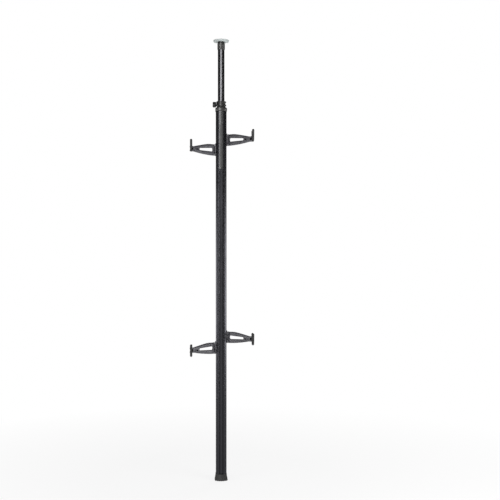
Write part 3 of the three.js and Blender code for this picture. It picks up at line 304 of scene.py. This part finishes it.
ZINC = plated("steel_zinc_plated", ("#a4a8ac", "#c3c6c9"), gloss=0.3, edge_colour="#dcdee0",
              edge_amount=0.5)
BLACKENED = plated("steel_black_oxide", ("#222325", "#34363a"), gloss=0.42, edge_colour="#8a8c90",
                   edge_amount=0.6)
FINISH_OF_SLOT = {
    "anodised_black": EXTRUDED, "moulded_grey_black": NYLON, "black_plastic": ABS,
    "black_rubber": RUBBER, "pale_rubber": ELASTOMER, "zinc_steel": ZINC, "black_steel": BLACKENED,
}
print("finishes for slots:", sorted(FINISH_OF_SLOT))

# %% [markdown]
# ## Making a piece from a mesh
# A piece is a mesh in the frame's own place on an object that stays at the origin. It takes its
# body from the node that it stands for, and its finish from that node's slot unless one is given.


# %% Helpers for pieces
SAME_PLACE = 0.002 * MM


def piece(name, mesh, node, finish=None, stands_for=True):
    thing = bpy.data.objects.new(name, mesh)
    bpy.context.scene.collection.objects.link(thing)
    mesh.materials.clear()
    mesh.materials.append(finish or FINISH_OF_SLOT[SLOT_OF[node]])
    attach(thing, BODY_OF[node])
    if stands_for:
        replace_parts(thing, node)
    return thing


def smooth_mesh(work, name, degrees=38):
    """Merges, points the faces outwards and shades every edge smooth that is flatter than degrees.

    A copied node brings normals of its own that keep its facets, and those are dropped.
    """
    bmesh.ops.remove_doubles(work, verts=work.verts, dist=SAME_PLACE)
    bmesh.ops.recalc_face_normals(work, faces=work.faces)
    mesh = bpy.data.meshes.new(name)
    work.to_mesh(mesh)
    work.free()
    facets = mesh.attributes.get("custom_normal")
    if facets:
        mesh.attributes.remove(facets)
    mesh.shade_smooth()
    mesh.set_sharp_from_angle(angle=math.radians(degrees))
    return mesh


# %% [markdown]
# ## Turned pieces
# The tube, hub and pad are round, so each is a profile that is spun about the pole's axis. The
# frame's own circles have few sides. A profile with filleted corners and 96 steps gives the soft
# rims that catch light on the real ones. A fillet is a curve between the two straight lines that meet
# in a corner, cut back where a line is short. Outer sizes are read from the frame, and the sizes of
# holes, webs and grooves are in millimetres.


# %% Spin a filleted profile
ON_AXIS = 1e-9
LONGEST_CUT = 0.45


def filleted(corners, radius, steps=4):
    """Corners (radius, height) in mm; those on the axis stay sharp."""
    points = []
    for i, corner in enumerate(corners):
        here = Vector(corner)
        if here.x == 0:
            points.append(here)
            continue
        before = Vector(corners[i - 1]) - here
        after = Vector(corners[(i + 1) % len(corners)]) - here
        half = before.angle(after) / 2
        cut = min(radius / math.tan(half), before.length * LONGEST_CUT, after.length * LONGEST_CUT)
        first, last = here + before.normalized() * cut, here + after.normalized() * cut
        for k in range(steps + 1):
            t = k / steps
            points.append(first * (1 - t) ** 2 + here * 2 * t * (1 - t) + last * t * t)
    return points


def spun(name, corners, radius, steps=96):
    """A closed turned mesh about +Z, from corners in mm."""
    work = bmesh.new()
    rim = [work.verts.new((p.x * MM, 0, p.y * MM)) for p in filleted(corners, radius)]
    lines = [work.edges.new((rim[i], rim[(i + 1) % len(rim)])) for i in range(len(rim))]
    lines = [line for line in lines if any(abs(v.co.x) > ON_AXIS for v in line.verts)]
    bmesh.ops.spin(work, geom=lines, cent=(0, 0, 0), axis=(0, 0, 1), angle=2 * math.pi, steps=steps)
    bmesh.ops.remove_doubles(work, verts=work.verts, dist=SAME_PLACE)
    loose = [edge for edge in work.edges if not edge.link_faces]
    bmesh.ops.delete(work, geom=loose, context="EDGES")
    return smooth_mesh(work, name)


def turned_size(node):
    """Outer radius, lower end and upper end in mm of a node that is turned about the pole's axis."""
    low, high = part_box(node)
    return high.x / MM, low.z / MM, high.z / MM


# %% Tube
TUBE_WALL = 1.8
TUBE_FILLET = 0.4
tube_radius, low, high = turned_size("upper_tube")
inner = tube_radius - TUBE_WALL
corners = [(inner, low), (tube_radius, low), (tube_radius, high), (inner, high)]
piece("tube_skin", spun("tube_skin", corners, TUBE_FILLET), "upper_tube", DRAWN)
print(f"tube: radius {tube_radius:.1f} mm, length {high - low:.0f} mm")

# %% [markdown]
# ### Hub and ceiling pad
# The hub is a moulded cup that sits on the stem and carries the pad. The pad is a soft disc that
# spreads the jack's push over the ceiling, with a shallow ring groove in its top for grip. Both are
# turned from the same heights, so that they fit into each other.

# %% Hub under the pad
STEM_HOLE = 10.3
SPIGOT_RADIUS = 12
HUB_GAP = 0.3
HUB_ROOF = 2
HUB_FILLET = 1.4
hub_radius, low, high = turned_size("pad_holder")
pad_radius, pad_low, pad_high = turned_size("ceiling_pad")
shoulder = pad_low - HUB_GAP
corners = [
    (STEM_HOLE, low), (hub_radius, low), (hub_radius, shoulder), (SPIGOT_RADIUS, shoulder),
    (SPIGOT_RADIUS, high), (0, high), (0, high - HUB_ROOF), (STEM_HOLE, high - HUB_ROOF)]
piece("hub_skin", spun("hub_skin", corners, HUB_FILLET), "pad_holder")
print(f"hub: radius {hub_radius:.1f} mm")

# %% Ceiling pad
PAD_HOLE = 12.3
PAD_LAND = 2.4
PAD_EDGE_WIDTH = 5
PAD_EDGE_RISE = 0.8
PAD_ROOF = 3.6
PAD_FILLET = 1.1
GROOVE_INSET = 12
GROOVE_WIDTH = 2
GROOVE_DEPTH = 0.8
groove_outer = pad_radius - GROOVE_INSET
groove_inner = groove_outer - GROOVE_WIDTH
corners = [
    (PAD_HOLE, pad_low), (hub_radius + PAD_LAND, pad_low),
    (pad_radius - PAD_EDGE_WIDTH, pad_low + PAD_EDGE_RISE), (pad_radius, pad_low + PAD_EDGE_RISE),
    (pad_radius, pad_high), (groove_outer, pad_high), (groove_outer, pad_high - GROOVE_DEPTH),
    (groove_inner, pad_high - GROOVE_DEPTH), (groove_inner, pad_high),
    (0, pad_high), (0, pad_high - PAD_ROOF), (PAD_HOLE, pad_high - PAD_ROOF)]
piece("pad_skin", spun("pad_skin", corners, PAD_FILLET), "ceiling_pad")
print(f"pad: radius {pad_radius:.1f} mm, {pad_high - pad_low:.1f} mm thick")

# %% [markdown]
# ## Flutes
# The jack's adjuster and the clamp knob are gripped by hand, so their walls are fluted. The flutes
# repeat round the axis, which suits Geometry Nodes: the tree takes a plain turned wall and moves each
# point inward by a wave of its angle. The number, depth and ends of the flutes are inputs, so one
# tree serves both.


# %% The flute tree
def node_tree(name, sockets):
    tree = bpy.data.node_groups.new(name, "GeometryNodeTree")
    tree.interface.new_socket("Geometry", in_out="INPUT", socket_type="NodeSocketGeometry")
    for label, kind, value in sockets:
        made = tree.interface.new_socket(label, in_out="INPUT", socket_type=kind)
        if value is not None:
            made.default_value = value
    tree.interface.new_socket("Geometry", in_out="OUTPUT", socket_type="NodeSocketGeometry")
    return tree, tree.nodes.new("NodeGroupInput"), tree.nodes.new("NodeGroupOutput")


def math_node(tree, operation, *values):
    return add(tree, "ShaderNodeMath", dict(enumerate(values)), operation=operation).outputs[0]


def close_tree(tree, geometry, finish, out):
    real = add(tree, "GeometryNodeRealizeInstances", {0: geometry})
    painted = add(tree, "GeometryNodeSetMaterial", {"Geometry": real.outputs[0], "Material": finish})
    tree.links.new(painted.outputs[0], out.inputs[0])


FLUTES, given, out = node_tree("flutes", [
    ("Flutes", "NodeSocketFloat", 12.0), ("Depth", "NodeSocketFloat", 1 * MM),
    ("Lower end", "NodeSocketFloat", 0.0), ("Upper end", "NodeSocketFloat", 1.0),
    ("Wall radius", "NodeSocketFloat", 0.01), ("Run out", "NodeSocketFloat", 2 * MM),
    ("Finish", "NodeSocketMaterial", None)])
spot = add(FLUTES, "ShaderNodeSeparateXYZ", {0: add(FLUTES, "GeometryNodeInputPosition").outputs[0]})
x, y, z = spot.outputs
angle = math_node(FLUTES, "ARCTAN2", y, x)
wave = math_node(FLUTES, "COSINE", math_node(FLUTES, "MULTIPLY", angle, given.outputs["Flutes"]))
wave = math_node(FLUTES, "MAXIMUM", wave, 0.0)
above = math_node(FLUTES, "DIVIDE", math_node(FLUTES, "SUBTRACT", z, given.outputs["Lower end"]),
                  given.outputs["Run out"])
below = math_node(FLUTES, "DIVIDE", math_node(FLUTES, "SUBTRACT", given.outputs["Upper end"], z),
                  given.outputs["Run out"])
fade = math_node(FLUTES, "MINIMUM", above, below)
fade = math_node(FLUTES, "MAXIMUM", math_node(FLUTES, "MINIMUM", fade, 1.0), 0.0)
flat = add(FLUTES, "ShaderNodeCombineXYZ", {0: x, 1: y})
reach = add(FLUTES, "ShaderNodeVectorMath", {0: flat.outputs[0]}, operation="LENGTH")
outer = math_node(FLUTES, "GREATER_THAN", reach.outputs["Value"], given.outputs["Wall radius"])
amount = math_node(FLUTES, "MULTIPLY", math_node(FLUTES, "MULTIPLY", wave, fade),
                   math_node(FLUTES, "MULTIPLY", outer, given.outputs["Depth"]))
inward = add(FLUTES, "ShaderNodeVectorMath", {0: flat.outputs[0]}, operation="NORMALIZE")
shift = add(FLUTES, "ShaderNodeVectorMath", {
    0: inward.outputs[0], "Scale": math_node(FLUTES, "MULTIPLY", amount, -1.0)}, operation="SCALE")
moved = add(FLUTES, "GeometryNodeSetPosition", {"Geometry": given.outputs[0], "Offset": shift.outputs[0]})
close_tree(FLUTES, moved.outputs[0], given.outputs["Finish"], out)
print("flute tree:", len(FLUTES.nodes), "nodes")


# %% Run a tree on a mesh
def grown(name, mesh, tree, values):
    """The plain mesh that a tree makes of a mesh. Inputs are set by their identifiers."""
    thing = bpy.data.objects.new(name, mesh)
    bpy.context.scene.collection.objects.link(thing)
    modifier = thing.modifiers.new(tree.name, "NODES")
    modifier.node_group = tree
    for item in tree.interface.items_tree:
        if item.name in values:
            modifier[item.identifier] = values[item.name]
    result = bpy.data.meshes.new_from_object(thing.evaluated_get(bpy.context.evaluated_depsgraph_get()))
    bpy.data.objects.remove(thing)
    work = bmesh.new()
    work.from_mesh(result)
    return smooth_mesh(work, name)


def wall_rings(low, high, count):
    """Heights of extra rings, so that a straight wall has points for the flutes to move."""
    return [low + (high - low) * k / count for k in range(1, count)]


# %% [markdown]
# ### Adjuster and knob
# A flute needs points to move, so each wall gets extra rings between its plain ends. Only points
# outside the wall radius move, which keeps the bores round. The knob is turned about +Z like the rest
# and then laid down to point to the left.

# %% Adjuster
FLUTE_DEPTH = 1.3 * MM
TUBE_HOLE = 17.3
ADJUSTER_BEVEL = 1.5
ADJUSTER_FOOT = 3
ADJUSTER_WEB = 5.9
ADJUSTER_FILLET = 0.7
ADJUSTER_STEPS = 192
ADJUSTER_RINGS = 16
ADJUSTER_FLUTES = 12.0
ADJUSTER_INSIDE = 18
PLAIN_BELOW = 1
PLAIN_ABOVE = 5
wall, low, high = turned_size("adjuster_collar")
rings = [(wall, z) for z in wall_rings(low + ADJUSTER_FOOT, high - ADJUSTER_FOOT, ADJUSTER_RINGS)]
corners = [
    (TUBE_HOLE, low), (wall - ADJUSTER_BEVEL, low), (wall, low + ADJUSTER_FOOT), *rings,
    (wall, high - ADJUSTER_BEVEL), (wall - ADJUSTER_BEVEL, high), (STEM_HOLE, high),
    (STEM_HOLE, high - ADJUSTER_WEB), (TUBE_HOLE, high - ADJUSTER_WEB)]
plain = spun("adjuster", corners, ADJUSTER_FILLET, ADJUSTER_STEPS)
adjuster = grown("adjuster_skin", plain, FLUTES, {
    "Flutes": ADJUSTER_FLUTES, "Depth": FLUTE_DEPTH, "Lower end": (low + PLAIN_BELOW) * MM,
    "Upper end": (high - PLAIN_ABOVE) * MM, "Wall radius": ADJUSTER_INSIDE * MM, "Finish": SATIN_NYLON})
piece("adjuster_skin", adjuster, "adjuster_collar", SATIN_NYLON)
print(f"adjuster: {len(adjuster.polygons)} faces")

# %% Knob
SCREW_HOLE = 4.3
KNOB_EDGE = 3
KNOB_FILLET = 1.4
KNOB_STEPS = 160
KNOB_RINGS = 8
KNOB_FLUTES = 8.0
KNOB_INSIDE = 8
KNOB_PLAIN_END = 0.5
knob_low, knob_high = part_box("clamp_knob")
length = (knob_high.x - knob_low.x) / MM
wall = (knob_high.z - knob_low.z) / 2 / MM
rings = [(wall, z) for z in wall_rings(KNOB_EDGE, length - KNOB_EDGE, KNOB_RINGS)]
corners = [
    (SCREW_HOLE, 0), (wall - KNOB_EDGE, 0), (wall, KNOB_EDGE), *rings, (wall, length - KNOB_EDGE),
    (wall - KNOB_EDGE, length), (0, length), (0, length / 2), (SCREW_HOLE, length / 2)]
plain = spun("knob", corners, KNOB_FILLET, KNOB_STEPS)
knob = grown("knob_skin", plain, FLUTES, {
    "Flutes": KNOB_FLUTES, "Depth": FLUTE_DEPTH, "Lower end": KNOB_PLAIN_END * MM,
    "Upper end": (length - KNOB_PLAIN_END) * MM, "Wall radius": KNOB_INSIDE * MM, "Finish": ABS})
seat = Matrix.Translation((knob_high.x, 0, (knob_low.z + knob_high.z) / 2))
knob.transform(seat @ Matrix.Rotation(-math.pi / 2, 4, "Y"))
piece("knob_skin", knob, "clamp_knob")
print(f"knob: {len(knob.polygons)} faces")

# %% [markdown]
# ## Thread
# The jack's stem carries the thread that lifts the pad, 4 mm for each turn. A spiral with a small
# round ridge along it is what a trapezoidal thread looks like from a step away. The tree makes the
# spiral and joins it to the core, and both stay inside the stem's outer radius.

# %% The thread tree
THREAD, given, out = node_tree("thread", [
    ("Turns", "NodeSocketFloat", 10.0), ("Radius", "NodeSocketFloat", 9 * MM),
    ("Length", "NodeSocketFloat", 40 * MM), ("Ridge", "NodeSocketFloat", 1 * MM),
    ("Start", "NodeSocketVector", (0, 0, 0)),
    ("Finish", "NodeSocketMaterial", None)])
spiral = add(THREAD, "GeometryNodeCurveSpiral", {
    "Resolution": 32, "Rotations": given.outputs["Turns"], "Start Radius": given.outputs["Radius"],
    "End Radius": given.outputs["Radius"], "Height": given.outputs["Length"]})
section = add(THREAD, "GeometryNodeCurvePrimitiveCircle", {
    "Resolution": 8, "Radius": given.outputs["Ridge"]})
ridge = add(THREAD, "GeometryNodeCurveToMesh", {
    "Curve": spiral.outputs[0], "Profile Curve": section.outputs[0], "Fill Caps": True})
raised = add(THREAD, "GeometryNodeTransform", {
    "Geometry": ridge.outputs[0], "Translation": given.outputs["Start"]})
both = add(THREAD, "GeometryNodeJoinGeometry")
THREAD.links.new(raised.outputs[0], both.inputs[0])
THREAD.links.new(given.outputs[0], both.inputs[0])
close_tree(THREAD, both.outputs[0], given.outputs["Finish"], out)

# %% Threaded stem
PITCH = 4
PLAIN_END = 3
RIDGE = 0.9
RIDGE_INSET = 1
STEM_FILLET = 0.6
STEM_STEPS = 64
stem_radius, low, high = turned_size("jack_stem")
threaded = high - low - 2 * PLAIN_END
core_radius = stem_radius - RIDGE
corners = [(0, low), (core_radius, low), (core_radius, high), (0, high)]
core = spun("stem", corners, STEM_FILLET, STEM_STEPS)
stem = grown("stem_skin", core, THREAD, {
    "Turns": threaded / PITCH, "Radius": (stem_radius - RIDGE_INSET) * MM, "Length": threaded * MM,
    "Ridge": RIDGE * MM, "Start": (0, 0, (low + PLAIN_END) * MM), "Finish": ZINC})
piece("stem_skin", stem, "jack_stem")
print(f"stem thread: {threaded / PITCH:.1f} turns")

# %% [markdown]
# ## Cradle sleeves
# Each hook ends in a bent steel rod under a rubber sleeve, with soft round ends so that it doesn't
# mark what it holds. The sleeve follows a path, so a tree turns the path into a tube. Near an end the
# tube's scale falls as a circle does, which makes the dome. The path is worked out from the hook's own
# pin: a straight rear prong, an arc at the bottom and a front prong that rises a little higher. It is
# measured in mm forward of the pin and up from it, as the frame's own rod is.

# %% The sleeve tree
LEAST_SCALE = 0.03
SLEEVE, given, out = node_tree("sleeve", [
    ("Radius", "NodeSocketFloat", 6 * MM), ("Points", "NodeSocketInt", 132),
    ("Sides", "NodeSocketInt", 28), ("Finish", "NodeSocketMaterial", None)])
line = add(SLEEVE, "GeometryNodeMeshToCurve", {"Mesh": given.outputs[0]})
even = add(SLEEVE, "GeometryNodeResampleCurve", {
    "Curve": line.outputs[0], "Count": given.outputs["Points"]})
along = add(SLEEVE, "GeometryNodeSplineParameter").outputs["Length"]
whole = add(SLEEVE, "GeometryNodeSplineLength").outputs["Length"]
to_end = math_node(SLEEVE, "MINIMUM", along, math_node(SLEEVE, "SUBTRACT", whole, along))
inside = math_node(SLEEVE, "MINIMUM", math_node(SLEEVE, "DIVIDE", to_end, given.outputs["Radius"]), 1.0)
drop = math_node(SLEEVE, "SUBTRACT", 1.0, inside)
square = math_node(SLEEVE, "MULTIPLY", drop, drop)
dome = math_node(SLEEVE, "SQRT", math_node(SLEEVE, "SUBTRACT", 1.0, square))
width = math_node(SLEEVE, "MAXIMUM", dome, LEAST_SCALE)
section = add(SLEEVE, "GeometryNodeCurvePrimitiveCircle", {
    "Resolution": given.outputs["Sides"], "Radius": given.outputs["Radius"]})
tube = add(SLEEVE, "GeometryNodeCurveToMesh", {
    "Curve": even.outputs[0], "Profile Curve": section.outputs[0], "Scale": width, "Fill Caps": True})
close_tree(SLEEVE, tube.outputs[0], given.outputs["Finish"], out)
print("sleeve tree:", len(SLEEVE.nodes), "nodes")


# %% Paths and sleeves
BOTTOM = Vector((79, -4))
BEND_RADIUS = 14
REAR_TIP = Vector((51, 30))
FRONT_TIP = Vector((101, 31.5))
SLEEVE_RADIUS = 5.75
PAST_TIP = 5.4
ARC_STEPS = 24


def touch(tip, turn):
    """The angle at which a straight line from a prong's tip touches the round bottom."""
    away = tip - BOTTOM
    return math.atan2(away.y, away.x) + turn * math.acos(BEND_RADIUS / away.length)


def cradle_path():
    """Points of the path from the rear prong's end to the front one's."""
    start, end = touch(REAR_TIP, 1), touch(FRONT_TIP, -1) + 2 * math.pi
    angles = [start + (end - start) * k / ARC_STEPS for k in range(ARC_STEPS + 1)]
    arc = [BOTTOM + BEND_RADIUS * Vector((math.cos(a), math.sin(a))) for a in angles]
    first = REAR_TIP + (REAR_TIP - arc[0]).normalized() * PAST_TIP
    last = FRONT_TIP + (FRONT_TIP - arc[-1]).normalized() * PAST_TIP
    return [first, *arc, last]


for arm in ARMS:
    pin = Vector(JOINTS[f"{arm}_hook_swivel"]["pos_m"])
    path = bpy.data.meshes.new("path")
    points = [pin + Vector((0, -p.x * MM, p.y * MM)) for p in cradle_path()]
    path.from_pydata(points, [(i, i + 1) for i in range(len(points) - 1)], [])
    sleeve = grown(f"{arm}_sleeve_skin", path, SLEEVE, {"Radius": SLEEVE_RADIUS * MM, "Finish": RUBBER})
    piece(f"{arm}_sleeve_skin", sleeve, f"{arm}_hook_sleeve")
    print(arm, "sleeve:", len(sleeve.polygons), "faces")

# %% [markdown]
# ## Bare label film
# The strip that closes the groove carries a matt film where a maker would print. It is left bare
# here. The film follows the strip's curve, so it is a thin bent sheet with rounded corners and a
# small thickness, and not a flat plate. Polyester film is matt on top and even in colour.

# %% Film on the strip
FILM = moulded("polyester_film_matt", ("#0c0d0c", "#121312"), gloss=0.46, grain_mm=0.5,
               relief_mm=0.005, edge_colour="#20211f")
FILM_HALF = 8.6
FILM_LENGTH = 220
FILM_ABOVE_END = 6
FILM_CORNER = 4
FILM_THICK = 0.15
FRONT_CURVE = 40
ROWS = 40
COLUMNS = 12
strip_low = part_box("cover_strip")[0] / MM


def film_point(column, row, proud):
    """A point of the film, so many mm in front of the strip's curve. Rows near an end are narrower."""
    z = FILM_LENGTH * row / ROWS
    near = min(z, FILM_LENGTH - z, FILM_CORNER)
    half = FILM_HALF - FILM_CORNER + math.sqrt(FILM_CORNER ** 2 - (FILM_CORNER - near) ** 2)
    x = half * (2 * column / COLUMNS - 1)
    y = strip_low.y + FRONT_CURVE - math.sqrt(FRONT_CURVE ** 2 - x * x) - proud
    return x * MM, y * MM, (strip_low.z + FILM_ABOVE_END + z) * MM


def sheet(work, proud):
    """Adds a grid of points with its faces, and gives back the points round its rim in order."""
    grid = [[work.verts.new(film_point(c, r, proud)) for c in range(COLUMNS + 1)] for r in range(ROWS + 1)]
    for r in range(ROWS):
        for c in range(COLUMNS):
            work.faces.new((grid[r][c], grid[r][c + 1], grid[r + 1][c + 1], grid[r + 1][c]))
    right = [row[-1] for row in grid]
    left = [row[0] for row in reversed(grid)]
    return [*grid[0][:-1], *right[:-1], *reversed(grid[-1][1:]), *left[:-1]]


work = bmesh.new()
front_rim, back_rim = sheet(work, FILM_THICK), sheet(work, 0.0)
for k, corner in enumerate(front_rim):
    after = (k + 1) % len(front_rim)
    work.faces.new((corner, front_rim[after], back_rim[after], back_rim[k]))
piece("strip_film", smooth_mesh(work, "strip_film"), "cover_strip", FILM, stands_for=False)
print(f"film {2 * FILM_HALF:.0f} mm wide, {FILM_LENGTH} mm long")

# %% [markdown]
# ## The other nodes
# What is left has the right shape already. A node's mesh is loose triangles, which can only shade
# flat, so each gets a merged copy with smooth curves and sharp corners, and the copy stands for it.

# %% Merged copies
covered = {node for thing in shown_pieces() for node in thing.get("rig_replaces", [])}
for node, source in frame["nodes"].items():
    if node in covered:
        continue
    work = bmesh.new()
    work.from_mesh(source.data)
    finish = SATIN_NYLON if node == "pole_collar" else None
    piece(f"{node}_skin", smooth_mesh(work, f"{node}_skin"), node, finish)
print("merged copies:", len(frame["nodes"]) - len(covered))

# %% [markdown]
# ## Studio
# The picture has a white background. Black glossy parts show their form only by what they mirror, so
# the room matters more than the light. The floor and the world are white to the camera, and mirrored
# rays see a pale floor and a dark room with a pale patch in front. Panels then do one of two things. A
# streak panel shows only in glossy surfaces: a tall one left of the camera draws the light line down
# the pole and the strip, a high one the line on the tube, and two low ones the rims of the lower pole.
# A fill panel gives only diffuse light, to the arms and the pad, and one stands behind for the back.
# The floor keeps a share of diffuse colour near the foot, which is where the shadow shows.


# %% Floor
FLOOR_SIZE = 400
WHITE_NEAR = 0.84
SHADOW_FROM = 0.6
SHADOW_TO = 2.2
MIRRORED_FLOOR = 0.75


def mix_value(tree, factor, low, high):
    return add(tree, "ShaderNodeMix", {0: factor, 2: low, 3: high}).outputs[0]


bpy.ops.mesh.primitive_plane_add(size=FLOOR_SIZE, location=(0, 0, 0))
floor = bpy.context.object
floor.name = "floor"
ground = bpy.data.materials.new("painted_floor_pale")
ground.use_nodes = True
tree = ground.node_tree
tree.nodes.clear()
path = add(tree, "ShaderNodeLightPath").outputs
seen = math_node(tree, "MAXIMUM", path["Is Camera Ray"], path["Is Glossy Ray"])
place = add(tree, "ShaderNodeTexCoord").outputs["Object"]
away = add(tree, "ShaderNodeVectorMath", {0: place}, operation="LENGTH").outputs["Value"]
share = spread(tree, away, WHITE_NEAR, 1.0, SHADOW_FROM, SHADOW_TO)
plain = add(tree, "ShaderNodeBsdfDiffuse", {"Color": linear("#e6e6e6")})
white = add(tree, "ShaderNodeEmission", {
    "Color": (1, 1, 1, 1), "Strength": mix_value(tree, path["Is Glossy Ray"], 1.0, MIRRORED_FLOOR)})
mixed = add(tree, "ShaderNodeMixShader", {
    0: math_node(tree, "MULTIPLY", seen, share), 1: plain.outputs[0], 2: white.outputs[0]})
add(tree, "ShaderNodeOutputMaterial", {"Surface": mixed.outputs[0]})
floor.data.materials.append(ground)
print("floor:", ground.name)

# %% World
FRONT_LEVEL = 0.6
ROOM_LEVEL = 0.1
FRONT_EDGE = (-0.985, -0.88)
ROOM_FILL = 0.35
world = bpy.data.worlds.new("studio")
bpy.context.scene.world = world
world.use_nodes = True
tree = world.node_tree
tree.nodes.clear()
path = add(tree, "ShaderNodeLightPath").outputs
direction = add(tree, "ShaderNodeTexCoord").outputs["Generated"]
toward = add(tree, "ShaderNodeSeparateXYZ", {0: direction}).outputs
mirrored = spread(tree, toward["Y"], FRONT_LEVEL, ROOM_LEVEL, *FRONT_EDGE)
level = mix_value(tree, path["Is Glossy Ray"], ROOM_FILL, mirrored)
level = mix_value(tree, path["Is Camera Ray"], level, 1.0)
sky = add(tree, "ShaderNodeBackground", {"Color": (1, 1, 1, 1), "Strength": level})
add(tree, "ShaderNodeOutputWorld", {"Surface": sky.outputs[0]})
print("floor and world are white to the camera")


# %% Lamps
def softbox(name, use, azimuth, distance, heights, width, radiance):
    """An upright panel that faces the pole. Azimuth is in degrees from the front, to the right.

    A fill only lights, and a streak only shows in glossy surfaces. Lengths are in metres.
    """
    light = bpy.data.lights.new(name, "AREA")
    tall = heights[1] - heights[0]
    light.shape = "RECTANGLE"
    light.size = width
    light.size_y = tall
    light.energy = radiance * math.pi * width * tall
    thing = bpy.data.objects.new(name, light)
    bpy.context.scene.collection.objects.link(thing)
    turn = math.radians(azimuth)
    thing.location = (distance * math.sin(turn), -distance * math.cos(turn), (heights[0] + heights[1]) / 2)
    thing.rotation_euler = (math.pi / 2, 0, turn)
    thing.visible_glossy = use == "streak"
    thing.visible_diffuse = use == "fill"
    thing.visible_camera = False


softbox("streak_softbox", "streak", azimuth=-21, distance=5.2, heights=(0.3, 4.6),
        width=1.75, radiance=10.0)
softbox("tube_softbox", "streak", azimuth=8, distance=5.2, heights=(3.2, 4.6),
        width=2.4, radiance=9.5)
softbox("left_rim_softbox", "streak", azimuth=-74, distance=3.0, heights=(0.3, 1.5),
        width=1.1, radiance=6.0)
softbox("right_rim_softbox", "streak", azimuth=68, distance=3.0, heights=(0.3, 1.5),
        width=1.1, radiance=7.0)
softbox("front_fill", "fill", azimuth=-19, distance=4.0, heights=(0.6, 1.5),
        width=2.4, radiance=4.0)
softbox("left_fill", "fill", azimuth=-50, distance=2.4, heights=(0.5, 1.3),
        width=1.2, radiance=6.0)
softbox("right_fill", "fill", azimuth=48, distance=2.4, heights=(0.5, 1.3),
        width=1.4, radiance=12.0)
softbox("back_fill", "fill", azimuth=150, distance=3.5, heights=(0.5, 2.2),
        width=1.6, radiance=5.0)

# %% [markdown]
# ## Camera
# The picture was taken level, 1.18 m above the floor and about 4.56 m from the pole, and the rack is
# turned a few degrees. The pole stands left of the middle, so the camera stands beside the pole's
# line and looks straight ahead. That keeps the upright lines upright.

# %% Place the camera
TURN = math.radians(3.5)
DISTANCE = 4.56
ASIDE = 0.148
EYE_HEIGHT = 1.178
SENSOR_WIDTH = 36
FOCAL_LENGTH = 64.0
ahead = Vector((math.sin(TURN), math.cos(TURN), 0))
beside = Vector((math.cos(TURN), -math.sin(TURN), 0))
lens = bpy.data.cameras.new("camera")
lens.sensor_width = SENSOR_WIDTH
lens.lens = FOCAL_LENGTH
camera = bpy.data.objects.new("camera", lens)
bpy.context.scene.collection.objects.link(camera)
camera.location = beside * ASIDE - ahead * DISTANCE + Vector((0, 0, EYE_HEIGHT))
camera.rotation_euler = ahead.to_track_quat("-Z", "Y").to_euler()
bpy.context.scene.camera = camera
bpy.context.scene.view_settings.view_transform = "Standard"
print("camera at", [round(v, 3) for v in camera.location])
